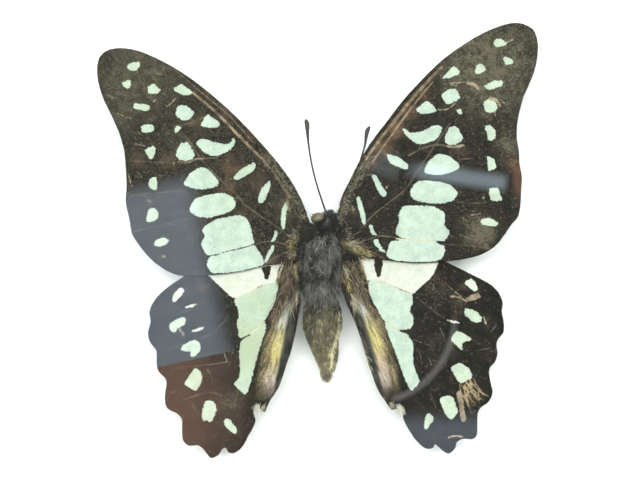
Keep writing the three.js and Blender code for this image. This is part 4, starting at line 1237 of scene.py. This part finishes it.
# Tufts and bands of hair on the wing bases, by shade: the line they stand along, how far to either side,
# heading, length in millimetres and count
TUFTS = {
    "ochre": [
        ([(-3.4, 0.2), (-3.6, -0.4)], 0.4, (-0.5, 0.7), 1.1, 50),
        ([(-3.6, -3.6), (-3.5, -5.4)], 0.4, (-0.2, -1.0), 1.5, 60),
        ([(-4.7, 4.6), (-5.2, 6.2)], 0.25, (-0.4, 0.9), 1.0, 40),
        ([(3.6, -0.4), (4.6, -1.2), (5.8, -1.6), (7.2, -2.2)], 0.7, (0.7, -0.3), 0.9, 380),
        ([(4.1, -5.6), (4.6, -7.4)], 0.4, (0.4, -1.0), 1.4, 100),
        ([(-6.2, -3.6), (-6.6, -5.4), (-6.8, -7.0)], 0.15, (-0.3, -1.0), 0.8, 80),
        ([(6.4, -3.2), (6.9, -4.8), (7.5, -6.6)], 0.15, (0.2, -1.0), 0.8, 80),
        ([(5.6, -1.4), (6.8, -1.8), (7.6, -2.4)], 0.45, (0.7, -0.5), 0.8, 160),
        ([(-4.4, -0.4), (-4.2, -1.4), (-4.0, -2.2)], 0.5, (-0.8, -0.1), 0.9, 120),
    ],
    "pale": [
        ([(-4.6, -2.4), (-4.0, -2.6)], 0.4, (-0.7, 0.1), 1.0, 60),
        ([(-3.5, -7.4), (-4.2, -9.4), (-4.8, -11.0)], 0.25, (-0.25, -1.0), 2.2, 70),
        ([(4.2, -0.8), (5.2, -1.0), (6.6, -1.4)], 0.5, (0.7, 0.1), 0.9, 120),
        ([(3.9, -4.0), (4.2, -5.4)], 0.4, (0.2, -1.0), 1.2, 90),
        ([(5.0, -8.6), (5.6, -10.4)], 0.25, (0.45, -1.0), 2.2, 60),
        ([(0.4, -21.4), (1.1, -21.7), (1.7, -21.4)], 0.12, (0.0, -1.0), 1.2, 60),
        ([(5.2, -12.4), (6.7, -16.2), (8.2, -20.5)], 0.1, (0.35, -1.0), 1.4, 60),
        ([(1.1, -6.2), (0.7, -7.6)], 0.25, (-0.3, -1.0), 2.4, 20),
        ([(2.0, -6.8), (2.3, -6.7)], 0.1, (0.9, 0.4), 1.2, 8),
        ([(2.3, -4.2), (2.6, -5.6)], 0.2, (0.45, -1.0), 2.0, 14),
        ([(-3.9, -3.8), (-3.8, -5.2)], 0.15, (-0.1, -1.0), 1.0, 50),
        ([(3.7, -4.0), (4.2, -5.0)], 0.25, (0.3, -1.0), 0.9, 60),
        ([(-3.0, -1.7), (-3.2, -2.1)], 0.2, (-1.0, -0.05), 2.2, 40),
        ([(4.0, -0.6), (5.4, -0.9)], 0.4, (0.9, 0.1), 1.4, 80),
        ([(-8.9, -26.4), (-9.2, -26.9)], 0.25, (-0.3, -1.0), 0.9, 40),
        ([(11.3, -26.0), (11.6, -26.6)], 0.25, (0.2, -1.0), 0.9, 40),
    ],
    "russet": [
        ([(-4.6, -3.6), (-5.0, -6.0), (-5.2, -8.2)], 0.9, (-0.3, -1.0), 1.6, 300),
        ([(3.0, -1.8), (3.1, -2.8)], 0.3, (0.3, -1.0), 1.2, 60),
        ([(5.2, -3.6), (5.8, -6.0), (6.4, -8.0)], 0.9, (0.35, -1.0), 1.6, 300),
        ([(0.7, -21.3), (1.1, -21.6), (1.5, -21.3)], 0.1, (0.0, -1.0), 1.3, 150),
        ([(-6.0, -8.0), (-6.8, -10.4), (-7.3, -12.4)], 0.5, (-0.3, -1.0), 1.6, 200),
        ([(6.8, -8.0), (7.8, -10.2), (8.6, -12.0)], 0.35, (0.4, -1.0), 1.4, 180),
        ([(2.7, -1.6), (2.9, -2.8)], 0.3, (0.4, -0.8), 1.0, 70),
        ([(3.1, -5.2), (3.4, -6.4)], 0.3, (0.4, -0.8), 1.2, 80),
    ],
    "grizzled": [
        ([(-1.4, 2.6), (-3.0, 5.0), (-4.6, 7.8), (-6.6, 10.8),
          (-8.2, 12.8)], 0.9, (-0.4, 0.4), 0.6, 1500),
        ([(-3.6, 1.8), (-4.0, 0.6), (-3.6, -0.6)], 0.5, (-0.6, 0.5), 1.0, 130),
        ([(2.9, 2.8), (3.5, 5.0), (4.6, 7.6), (6.0, 10.2), (7.4, 12.4)], 0.9, (0.35, 0.4), 0.6, 1500),
        ([(4.0, 1.8), (4.4, 0.2), (5.2, -0.8)], 0.6, (0.7, 0.3), 1.0, 160),
    ],
    "black": [
        ([(-1.6, 1.2), (-2.6, 0.0), (-3.2, -1.4), (-3.6, -2.6)], 0.7, (-0.4, -0.6), 1.1, 420),
        ([(-3.8, -6.4), (-4.4, -8.6)], 0.5, (-0.4, -1.0), 1.8, 110),
        ([(2.9, 1.2), (3.6, -0.2), (4.4, -1.4)], 0.9, (0.5, -0.6), 1.1, 420),
        ([(4.6, -2.0), (6.2, -2.6)], 0.5, (0.6, -0.7), 1.0, 110),
        ([(3.6, -3.4), (3.4, -6.0)], 0.4, (0.2, -1.0), 1.4, 90),
        ([(-0.8, 1.9), (0.2, 1.3), (1.4, 1.2), (2.4, 1.8)], 0.5, (0.0, -0.8), 1.1, 420),
        ([(-0.8, 1.5), (-1.7, 0.4), (-2.5, -0.9)], 0.25, (-0.9, 0.4), 1.0, 320),
        ([(-1.6, 2.5), (-1.4, 1.6), (-1.8, 0.7)], 0.15, (0.9, -0.2), 1.3, 420),
        ([(2.9, 3.8), (2.8, 2.4), (2.7, 1.2)], 0.15, (-0.9, 0.1), 0.8, 240),
        ([(-0.7, 2.3), (0.1, 2.6), (0.8, 3.2)], 0.2, (-0.2, 0.6), 0.7, 200),
        ([(1.9, 1.0), (2.5, 0.2), (3.0, -0.9), (3.6, -2.2)], 0.25, (0.9, 0.3), 1.0, 320),
        ([(-2.7, -2.0), (-2.6, -4.6), (-2.4, -7.0)], 0.3, (-0.5, -0.9), 1.6, 160),
        ([(2.8, -3.0), (2.7, -5.0), (2.4, -7.2)], 0.3, (0.5, -0.9), 1.6, 160),
        ([(-1.1, 2.2), (-0.5, 2.3), (0.3, 2.6)], 0.2, (0.1, 0.6), 0.9, 360),
        ([(-1.5, 0.7), (-2.0, 0.2)], 0.2, (-0.3, -0.6), 0.8, 140),
        ([(2.0, 4.0), (2.1, 3.2), (2.2, 2.4)], 0.2, (0.9, 0.1), 0.9, 320),
        ([(3.0, 3.9), (3.3, 5.2), (3.7, 6.6)], 0.15, (-0.7, 0.2), 0.5, 260),
    ],
    "white": [
        ([(-10.0, -26.4), (-10.1, -27.0)], 0.3, (-0.2, -1.0), 0.9, 150),
        ([(12.6, -26.6), (13.0, -27.2)], 0.4, (0.2, -1.0), 0.9, 200),
    ],
    "grey": [
        ([(-1.9, -7.0), (0.2, -7.6), (2.3, -7.0)], 0.5, (0.0, -1.0), 4.2, 260),
    ],
}


def strand_faces():
    """Triangles of one hair: the end at its root, its sides and its tip"""
    faces = [tuple(range(STRAND_SIDES))]
    beside = [(side + 1) % STRAND_SIDES for side in range(STRAND_SIDES)]
    for step in range(STRAND_STEPS - 1):
        low, high = step * STRAND_SIDES, (step + 1) * STRAND_SIDES
        for here, there in enumerate(beside):
            faces += [(low + here, high + here, low + there), (low + there, high + here, high + there)]
    last, tip = (STRAND_STEPS - 1) * STRAND_SIDES, STRAND_STEPS * STRAND_SIDES
    faces += [(last + here, tip, last + there) for here, there in enumerate(beside)]
    return np.array(faces)


def strands(name, roots, bends, tips, widths, material, **fields):
    """One mesh of tapered three-sided hairs, each curved from its root past its bend to its tip.
    A field has one number for each hair."""
    count = len(roots)
    far = (np.arange(STRAND_STEPS + 1) / STRAND_STEPS)[None, :, None]
    near = 1 - far
    line = near ** 2 * roots[:, None] + 2 * far * near * bends[:, None] + far ** 2 * tips[:, None]
    heading = unit(tips - roots)
    side = unit(np.cross(heading, ASLANT))
    up = np.cross(heading, side)
    taper = (1 - np.arange(STRAND_STEPS) / STRAND_STEPS) ** TAPER
    half_widths = taper[None, :, None] * widths[:, None, None] / 2
    corners = []
    for corner in range(STRAND_SIDES):
        angle = corner / STRAND_SIDES * 2 * math.pi
        out = math.cos(angle) * side + math.sin(angle) * up
        corners.append(line[:, :STRAND_STEPS] + out[:, None] * half_widths)
    shafts = np.stack(corners, axis=2).reshape(count, -1, 3)
    points = np.concatenate([shafts, line[:, STRAND_STEPS:]], axis=1)
    per_strand = points.shape[1]
    faces = strand_faces()[None] + (np.arange(count) * per_strand)[:, None, None]
    repeated = {field: np.repeat(values, per_strand) for field, values in fields.items()}
    mesh = new_mesh(name, points.reshape(-1, 3), faces.reshape(-1, 3), repeated)
    return new_piece(name, mesh, material, "body_hair")


def scatter(points, triangles, count, chance, wanted):
    """Seeded random places on a surface, with their outward directions"""
    normals, areas = face_normals(points, triangles)
    centres = points[triangles].mean(axis=1)
    weights = areas * wanted(centres, normals)
    chosen = chance.choice(len(triangles), count, p=weights / weights.sum())
    u, v = chance.random((2, count))
    flip = u + v > 1
    u[flip], v[flip] = 1 - u[flip], 1 - v[flip]
    a, b, c = (points[triangles[chosen, i]] for i in range(3))
    return a + u[:, None] * (b - a) + v[:, None] * (c - a), normals[chosen]


def lay_on(surface, places, lift):
    """The nearest places on a surface, raised off it"""
    raised = []
    for place, rise in zip(places, lift):
        spot, normal, _, _ = surface.find_nearest(Vector(place))
        raised.append(spot + normal * rise)
    return np.array(raised)


def drawn_to_locks(roots, tips, tones, lock):
    """Tips and shades drawn towards those of the nearest leading hair, so that hairs hang in locks"""
    leaders = np.arange(0, len(roots), lock)
    gaps = np.linalg.norm(roots[:, None] - roots[None, leaders], axis=2)
    nearest = leaders[np.argmin(gaps, axis=1)]
    tips = tips + LOCK_PULL * (tips[nearest] - tips)
    return tips, LOCK_SHADE * tones[nearest] + (1 - LOCK_SHADE) * tones


def grow_coat(name, body, trunk, wanted, flow, material):
    """A coat of hair that lies along the body in locks: flow gives each hair's heading from its root"""
    count, lock, mess, lengths_mm, lifts_mm, width_mm = COATS[name]
    chance = np.random.default_rng(SEED + count)
    points, triangles = mesh_arrays(body.data)
    roots, normals = scatter(points, triangles, count, chance, wanted)
    heading = unit(flow(to_board(roots), normals) + chance.normal(0, mess, (count, 3)))
    reach = heading * chance.uniform(*lengths_mm, count)[:, None] * MM
    lift = chance.uniform(*lifts_mm, count) * MM
    tips = lay_on(trunk, roots + reach, lift)
    tips, tones = drawn_to_locks(roots, tips, chance.random(count), lock)
    # Painted shade: hairs are darker where the body's surface faces sideways
    tones = tones ** FEW_PALE * (1 - SIDES_PAINTED_SHADE * np.abs(normals[:, 0]))
    bends = roots + BEND_PLACE * reach + BEND_LIFT * lift[:, None] * normals
    widths = chance.uniform(*WIDTHS_VARY, count) * (1 + tones) * width_mm * MM
    fields = {"tone": tones}
    if name == "abdomen_hair":
        edge = line_depth(to_board(roots), STRIPE) + chance.normal(0, STRIPE_RAGGED, count)
        fields["striped"] = edge > 0
        fields["tone"] = tones + TIP_PALER * down_abdomen_share(roots) - TOP_DARKER
    strands(name, roots - normals * ROOT_DEPTH * MM, bends, tips, widths, material, **fields)


def lay_tuft(surface, chance, line, half_width, heading, length, count):
    """Roots, bends and tips of one tuft's hairs, lying on whatever is foremost where they stand"""
    course = smooth(line, FINE_PARTS)
    stands = course[chance.integers(0, len(course), count)]
    flat = stands + chance.normal(0, half_width / TUFT_SPREAD, (count, 2))
    reach = chance.uniform(*TUFT_LENGTHS_VARY, count)[:, None] * length
    ends = flat + (np.array(heading) + chance.normal(0, TUFT_MESS, (count, 2))) * reach
    depth, end_depth = foremost(surface, flat), foremost(surface, ends)
    end_depth = np.where(np.isnan(end_depth), depth, end_depth)
    end_depth = np.clip(end_depth, depth - TUFT_MOST_DEPTH * MM, depth + TUFT_MOST_DEPTH * MM)
    lift = chance.uniform(*TUFT_LIFTS, count) * MM
    roots = from_board(flat, depth)
    bends = from_board((flat + ends) / 2, (depth + end_depth) / 2 - TUFT_BEND_LIFT * lift)
    tips = from_board(ends, end_depth - lift)
    held = ~np.isnan(depth)
    return roots[held], bends[held], tips[held]


def grow_tufts(surface, hair):
    """Hair tufts on the wing bases and the body, one piece for each shade"""
    chance = np.random.default_rng(SEED)
    for shade, rows in TUFTS.items():
        tufts = [lay_tuft(surface, chance, *row) for row in rows]
        roots, bends, tips = (np.vstack(part) for part in zip(*tufts))
        widths = chance.uniform(*TUFT_WIDTHS_VARY, len(roots)) * TUFT_WIDTH * MM
        tones = chance.random(len(roots)) ** FEW_PALE
        strands("tufts_" + shade, roots, bends, tips, widths, hair[shade], tone=tones)


def dry_hair(name, dark, light, stripe=None):
    """Dry insect hair: fine horny fibres, matt, each its own shade, dusty in patches. Real hairs are a
    fiftieth of a millimetre thick and are drawn three times as thick."""
    material, add = new_material(name)
    place = add("TexCoord", out="Object")
    tone = add("Attribute", out="Fac", attribute_name="tone")
    dust = add("TexNoise", {"Vector": place, "Scale": per_metre(HAIR_DUST), "Detail": 3.0})
    mixed = add("Math", [dust, 0.5, tone], **TIMES_PLUS)
    colour = laid_over(add, dark, (add("MapRange", [mixed, 0.25, 1.05]), light))
    if stripe:
        colour = laid_over(add, colour, (add("Attribute", out="Fac", attribute_name="striped"), stripe))
    finish_surface(add, colour, dust, height_mm=0.01, Roughness=0.6, IOR=1.55, Specular_IOR_Level=0.35)
    return material


# Where the body's hair stops: a share of how far back the abdomen goes, outward directions that face
# the board, and a clear ring round the eye in millimetres
HAIR_BACK = 0.4
FACES_BOARD = 0.6
EYE_CLEAR = 0.1
# Heading of hair: how thorax hair fans out from the middle, how closely hair follows the body's roundness,
# and which way head hair leans
THORAX_FAN = 0.10
THORAX_ROUND = 0.2
ABDOMEN_ROUND = 0.25
HEAD_LEAN = (0.3, 0.0, 0.2)


def hair_grows(centres, normals):
    """Where hair grows on the body: not on what faces the board"""
    _, abdomen_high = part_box("abdomen")
    return (centres[:, 1] < abdomen_high.y * HAIR_BACK) & (normals[:, 1] < FACES_BOARD)


def hair_off_eye(centres, normals):
    """Where hair grows on the head: clear of the left eye"""
    low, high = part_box("eye_left")
    gap = np.linalg.norm(centres - np.array((low + high) / 2), axis=1)
    return hair_grows(centres, normals) & (gap > (high.x - low.x) / 2 + EYE_CLEAR * MM)


def down_thorax(flat, normals):
    """Heading of thorax hair: down and slightly outwards"""
    down = np.full(len(flat), -1.0)
    return np.column_stack([THORAX_FAN * flat[:, 0], THORAX_ROUND * normals[:, 1], down])


def down_abdomen(flat, normals):
    """Heading of abdomen hair: down, close to the skin"""
    down = np.full(len(flat), -1.0)
    return np.column_stack([ABDOMEN_ROUND * normals[:, :2], down])


def out_of_head(flat, normals):
    """Heading of head hair: outwards, up and to the right"""
    return normals + HEAD_LEAN


def grow_hair(wings, thorax, head, abdomen, eyes):
    """Hair on the body and on the wing bases"""
    hair = {shade: dry_hair(*row) for shade, row in HAIR_SHADES.items()}
    trunk = surface_of([thorax, abdomen, head])
    grow_coat("thorax_hair", thorax, trunk, hair_grows, down_thorax, hair["grey"])
    grow_coat("thorax_long_hair", thorax, trunk, hair_grows, down_thorax, hair["silver"])
    grow_coat("abdomen_hair", abdomen, trunk, hair_grows, down_abdomen, hair["brown"])
    grow_coat("head_hair", head, trunk, hair_off_eye, out_of_head, hair["black"])
    grow_tufts(surface_of([*wings, thorax, abdomen, head, *eyes]), hair)


def build_butterfly():
    """Wings, body, eyes, antennae and hair"""
    scales, cuticle, eye, horn = wing_scales(), body_skin(), dried_eye(), antenna_horn()
    wings = [build_wing(node, scales) for node in WINGS]
    thorax, head = softened("thorax", cuticle), softened("head", cuticle)
    abdomen = build_abdomen(abdomen_scales())
    eyes = []
    for side in ("left", "right"):
        eyes.append(build_eye("eye_" + side, eye))
        build_antenna("antenna_" + side, horn)
    grow_hair(wings, thorax, head, abdomen, eyes)


# Frame and sheets: rounding of their arrises in millimetres, and how it is stepped
ARRIS = {"oak": 0.3, "card": 0.1, "hardboard": 0.2, "steel": 0.1, "nail": 0.08, "foam": 0.15}
ARRIS_STEPS = 2
ARRIS_ANGLE = 50
JOINED_CORNERS = 1e-6
# How closely oak's grain is packed along a rail, against across it
GRAIN_STRETCH = 0.06
# Patterns of the frame's finishes, in millimetres
OAK_BAND = 3.5
OAK_PORE = 0.5
CARD_FIBRE = 0.4
BOARD_FIBRE = 1.2
STEEL_SPANGLE = 1.5
STEEL_SCUFF = 0.3
FOAM_CELL = 0.4


def oiled_oak(name, along):
    """Planed oak, oiled: open-pored, with long grain and darker growth bands along the rail"""
    material, add = new_material(name)
    place = add("TexCoord", out="Object")
    stretch = [GRAIN_STRETCH if axis == along else 1.0 for axis in "xyz"]
    in_grain = add("Mapping", {"Vector": place, "Scale": stretch})
    bands = add("TexNoise", {
        "Vector": in_grain, "Scale": per_metre(OAK_BAND), "Detail": 4.0, "Distortion": 0.6})
    pores = add("TexNoise", {
        "Vector": in_grain, "Scale": per_metre(OAK_PORE), "Detail": 3.0, "Roughness": 0.65})
    colour = laid_over(
        add, "#6b4a2a",
        (add("MapRange", [bands, 0.35, 0.65]), "#916a41"),
        (add("MapRange", [pores, 0.42, 0.3]), "#3f2a17"))
    finish_surface(add, colour, pores, height_mm=0.12, Roughness=0.5, IOR=1.5)
    return material


def white_card():
    """Mount card: pressed paper pulp, bright white and matt, with a faint fibre tooth"""
    material, add = new_material("white_mount_card")
    place = add("TexCoord", out="Object")
    fibre = add("TexNoise", {"Vector": place, "Scale": per_metre(CARD_FIBRE), "Detail": 4.0})
    colour = laid_over(add, "#efefed", (fibre, "#f6f6f5"))
    finish_surface(add, colour, fibre, height_mm=0.02, Roughness=0.9, IOR=1.5, Specular_IOR_Level=0.2)
    return material


def pressed_hardboard():
    """Hardboard: brown wood fibre pressed smooth, mottled with darker fibres"""
    material, add = new_material("pressed_hardboard")
    place = add("TexCoord", out="Object")
    fibre = add("TexNoise", {
        "Vector": place, "Scale": per_metre(BOARD_FIBRE), "Detail": 6.0, "Roughness": 0.7})
    colour = laid_over(add, "#4d3622", (add("MapRange", [fibre, *CLOUDS]), "#7c5c3d"))
    finish_surface(add, colour, fibre, height_mm=0.06, Roughness=0.75, IOR=1.5)
    return material


def galvanised_steel():
    """Zinc-plated sheet steel: grey, faintly spangled, with a soft gloss"""
    material, add = new_material("galvanised_steel")
    place = add("TexCoord", out="Object")
    spangle = add("TexVoronoi", {"Vector": place, "Scale": per_metre(STEEL_SPANGLE)}, out="Color")
    scuffs = add("TexNoise", {"Vector": place, "Scale": per_metre(STEEL_SCUFF), "Detail": 4.0})
    colour = laid_over(add, "#9a9c9c", (add("SeparateColor", [spangle]), "#b6b8b8"))
    roughness = add("MapRange", [scuffs, 0.0, 1.0, 0.28, 0.5])
    finish_surface(add, colour, scuffs, height_mm=0.01, Roughness=roughness, Metallic=1.0)
    return material


def foam_pad():
    """Closed-cell foam: white and matt, with small cells on the cut faces"""
    material, add = new_material("closed_cell_foam")
    place = add("TexCoord", out="Object")
    cells = add("TexVoronoi", {"Vector": place, "Scale": per_metre(FOAM_CELL)})
    colour = laid_over(add, "#eceae4", (cells, "#d6d4cd"))
    finish_surface(add, colour, cells, height_mm=-0.08, Roughness=0.9, IOR=1.5)
    return material


def float_glass():
    """Float glass: clear, with mirror-flat faces and a faint green. Lamps shine through it."""
    material, add = new_material("float_glass")
    shader = add("BsdfPrincipled", {
        "Base Color": linear("#f8fcfa"), "Roughness": 0.0, "IOR": 1.52, "Transmission Weight": 1.0})
    shadow = add("LightPath", out="Is Shadow Ray")
    mixed = add("MixShader", [shadow, shader, add("BsdfTransparent")])
    add("OutputMaterial", [mixed])
    return material


def dress_solid(node, material, round_mm=0.0):
    """A finish for a solid that is kept, with its arrises rounded where a size is given"""
    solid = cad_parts[node]
    solid.data.materials.clear()
    solid.data.materials.append(material)
    if round_mm:
        weld = solid.modifiers.new("Join corners", "WELD")
        weld.merge_threshold = JOINED_CORNERS
        bevel = solid.modifiers.new("Round arrises", "BEVEL")
        bevel.width = round_mm * MM
        bevel.segments = ARRIS_STEPS
        bevel.limit_method = "ANGLE"
        bevel.angle_limit = math.radians(ARRIS_ANGLE)


def dress_frame():
    """Finishes for the rails, sheets and fittings"""
    level, upright = oiled_oak("oiled_oak_level", "x"), oiled_oak("oiled_oak_upright", "z")
    card, steel = white_card(), galvanised_steel()
    for side, oak in (("bottom", level), ("top", level), ("left", upright), ("right", upright)):
        dress_solid("rail_" + side, oak, ARRIS["oak"])
        dress_solid("spacer_" + side, card, ARRIS["card"])
    dress_solid("mount_board", card, ARRIS["card"])
    dress_solid("back_panel", pressed_hardboard(), ARRIS["hardboard"])
    dress_solid("glass", float_glass())
    for node in ("point_bottom_1", "point_bottom_2", "point_top_1", "point_top_2", "hanger"):
        dress_solid(node, steel, ARRIS["steel"])
    for node in ("hanger_nail_left", "hanger_nail_right"):
        dress_solid(node, steel, ARRIS["nail"])
    dress_solid("mounting_pad", foam_pad(), ARRIS["foam"])


# Floor: half its size in metres, its parts, and in millimetres its gap under the frame and the stipple
# of its paint
FLOOR_HALF = 3.0
FLOOR_PARTS = 8
FLOOR_GAP = 0.1
ROLLER_STIPPLE = 8.0
# Camera in millimetres: its distance from the wings, and the width it sees there
CAMERA_DISTANCE = 320
VIEW_WIDTH = 102.4
SENSOR_WIDTH = 36.0
# Soft boxes in millimetres: place, size and brightness of the face. Those off the middle come in pairs.
LAMP_BRIGHTNESS = 17.4
SOFT_BOXES = [
    ("side_box", (620, -2000, 430), (400, 700), LAMP_BRIGHTNESS),
    ("back_box", (500, 800, 500), (500, 400), 3),
    ("top_box", (0, -2000, 640), (600, 320), LAMP_BRIGHTNESS),
]
# The box that lights the floor behind the frame: place, aim, size and brightness
FLOOR_BOX = ((0, 1500, 1500), (0, 1200, 0), (2400, 1600), 1.6)
# Dim panels beside the camera that show in the glass, as the centre and size of their image on the
# wings in millimetres, turn in degrees, brightness, colour and how far each edge fades
PANELS = [
    ("blue_panel_left", (-28.7, -5.4), (27.4, 29.4), 12, 3.6, "#c8dcf3", (0, 0.165, 0, 0.14)),
    ("warm_panel_left", (-22.7, -28.9), (29, 20), 12, 2.2, "#ffbea6", (0, 0.45, 0.45, 0)),
    ("blue_panel_right", (21.0, 9.9), (17.4, 4.0), -8, 5.3, "#d1ebf7", (0.3, 0.1, 0.45, 0.45)),
    ("blue_panel_base", (10.4, 11.6), (8, 6), -10, 1.3, "#d1ebf7", (0.4, 0.4, 0.4, 0.4)),
    ("warm_panel_right", (31.2, 9.4), (3.6, 8), 0, 2.2, "#ffb08c", (0.4, 0.4, 0.4, 0.4)),
    ("blue_panel_below", (19, -32.2), (22, 13.2), 0, 2.2, "#cfe2fa", (0, 0, 0, 0.3)),
    ("grey_arc", (16.6, -18.6), (11.8, 16.2), 0, 2.2, "#f3f0f0", (0.08, 0, 0, 0.3)),
]
# A round rim behind the camera shows as a grey arc: its centre, radius and half width
ARC_CENTRE = (7.4, -11.8)
ARC_RADIUS = 13.5
ARC_HALF_WIDTH = 0.9
# Brightness of the surroundings as a light, and where the camera sees them
SKY_LIGHT = 0.14
SKY_SEEN = 0.8


def lay_floor():
    """A plain pale floor that isn't part of the object"""
    mesh = bpy.data.meshes.new("floor")
    plane = bmesh.new()
    bmesh.ops.create_grid(plane, x_segments=FLOOR_PARTS, y_segments=FLOOR_PARTS, size=FLOOR_HALF)
    plane.to_mesh(mesh)
    plane.free()
    floor = bpy.data.objects.new("floor", mesh)
    floor.location.z = cad_box[0].z - FLOOR_GAP * MM
    floor.visible_glossy = False
    floor.visible_transmission = False
    bpy.context.scene.collection.objects.link(floor)
    mesh.materials.append(floor_paint())


def floor_paint():
    """Matt floor paint, rolled on: pale, even and dull, with the roller's faint stipple"""
    material, add = new_material("matt_floor_paint")
    place = add("TexCoord", out="Object")
    roller = add("TexNoise", {"Vector": place, "Scale": per_metre(ROLLER_STIPPLE), "Detail": 3.0})
    colour = laid_over(add, "#e3e2df", (roller, "#e9e8e5"))
    finish_surface(add, colour, roller, height_mm=0.1, Roughness=0.85, IOR=1.45)
    return material


def soft_box(name, place_mm, aim_mm, size_mm, brightness, colour="#ffffff", degrees=0):
    """A rectangular lamp; its power follows from the brightness of its face"""
    lamp = bpy.data.lights.new(name, "AREA")
    lamp.shape = "RECTANGLE"
    lamp.size, lamp.size_y = size_mm[0] * MM, size_mm[1] * MM
    lamp.energy = brightness * math.pi * lamp.size * lamp.size_y
    lamp.color = linear(colour)[:3]
    box = bpy.data.objects.new(name, lamp)
    box.location = Vector(place_mm) * MM
    facing = (Vector(aim_mm) * MM - box.location).to_track_quat("-Z", "Y")
    box.rotation_euler = (facing @ Quaternion((0, 0, 1), math.radians(degrees))).to_euler()
    box.visible_camera = False
    box.visible_transmission = False
    bpy.context.scene.collection.objects.link(box)
    return lamp


def off_arc(add, face, centre, size):
    """How far each point of a panel's face is off the middle of the grey arc"""
    corner = [arc - middle + side / 2 for arc, middle, side in zip(ARC_CENTRE, centre, size)]
    spread = add("VectorMath", [face, (*size, 0)], **TIMES)
    gap = add("VectorMath", [spread, (*corner, 0)], out="Value", operation="DISTANCE")
    off = add("Math", [gap, ARC_RADIUS], **LESS)
    return add("Math", [off], operation="ABSOLUTE")


def dim_panel(lamp, centre, size, fade):
    """Lets a panel's face go dark towards its edges, and away from the grey arc if it is the arc's.
    Fade is the share of its width or height over which each edge dims: left, right, bottom, top."""
    lamp.use_nodes = True
    lamp.node_tree.nodes.clear()
    add = partial(add_node, lamp.node_tree)
    face = add("NewGeometry", out="Parametric")
    sides = add("SeparateXYZ", [face]).node.outputs
    spans = []
    if lamp.name == "grey_arc":
        spans.append((off_arc(add, face, centre, size), ARC_HALF_WIDTH, 0.0))
    for axis, low, high in (("X", *fade[:2]), ("Y", *fade[2:])):
        edges = ((0.0, low), (1.0, 1.0 - high))
        spans += [(sides[axis], start, end) for start, end in edges if start != end]
    add("OutputLight", [add("Emission", {"Strength": eased_product(add, *spans)})])


def light_sky():
    """Plain pale surroundings, dim as a light"""
    world = bpy.data.worlds.new("studio")
    bpy.context.scene.world = world
    world.use_nodes = True
    world.node_tree.nodes.clear()
    add = partial(add_node, world.node_tree)
    seen = add("LightPath", out="Is Camera Ray")
    strength = add("MapRange", [seen, 0.0, 1.0, SKY_LIGHT, SKY_SEEN])
    add("OutputWorld", [add("Background", [linear("#f4f5f6"), strength])])


def light_studio():
    """Soft boxes round the camera, clear of the glass's mirror image, and dim panels that show in it"""
    middle = (CENTRE_X / MM, 0, CENTRE_Z / MM)
    for name, (x, y, z), size, brightness in SOFT_BOXES:
        for across in sorted({-x, x}):
            soft_box(name, (across, y, z), middle, size, brightness)
    soft_box("floor_box", *FLOOR_BOX)
    for name, (x, z), (width, height), degrees, brightness, colour, fade in PANELS:
        place = (2 * x + middle[0], -CAMERA_DISTANCE, 2 * z + middle[2])
        aim = (place[0], 0, place[2])
        lamp = soft_box(name, place, aim, (2 * width, 2 * height), brightness, colour, degrees)
        dim_panel(lamp, (x, z), (width, height), fade)
    light_sky()


def set_camera():
    """Straight in front of the board's centre, as wide at the wings as the photograph"""
    wing_low, wing_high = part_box("forewing_left")
    data = bpy.data.cameras.new("camera")
    data.sensor_width = SENSOR_WIDTH
    data.lens = SENSOR_WIDTH * CAMERA_DISTANCE / VIEW_WIDTH
    camera = bpy.data.objects.new("camera", data)
    camera.location = (CENTRE_X, (wing_low.y + wing_high.y) / 2 - CAMERA_DISTANCE * MM, CENTRE_Z)
    camera.rotation_euler = (math.pi / 2, 0, 0)
    bpy.context.scene.collection.objects.link(camera)
    bpy.context.scene.camera = camera
    bpy.context.scene.view_settings.view_transform = "Standard"


dress_frame()
build_butterfly()
lay_floor()
light_studio()
set_camera()
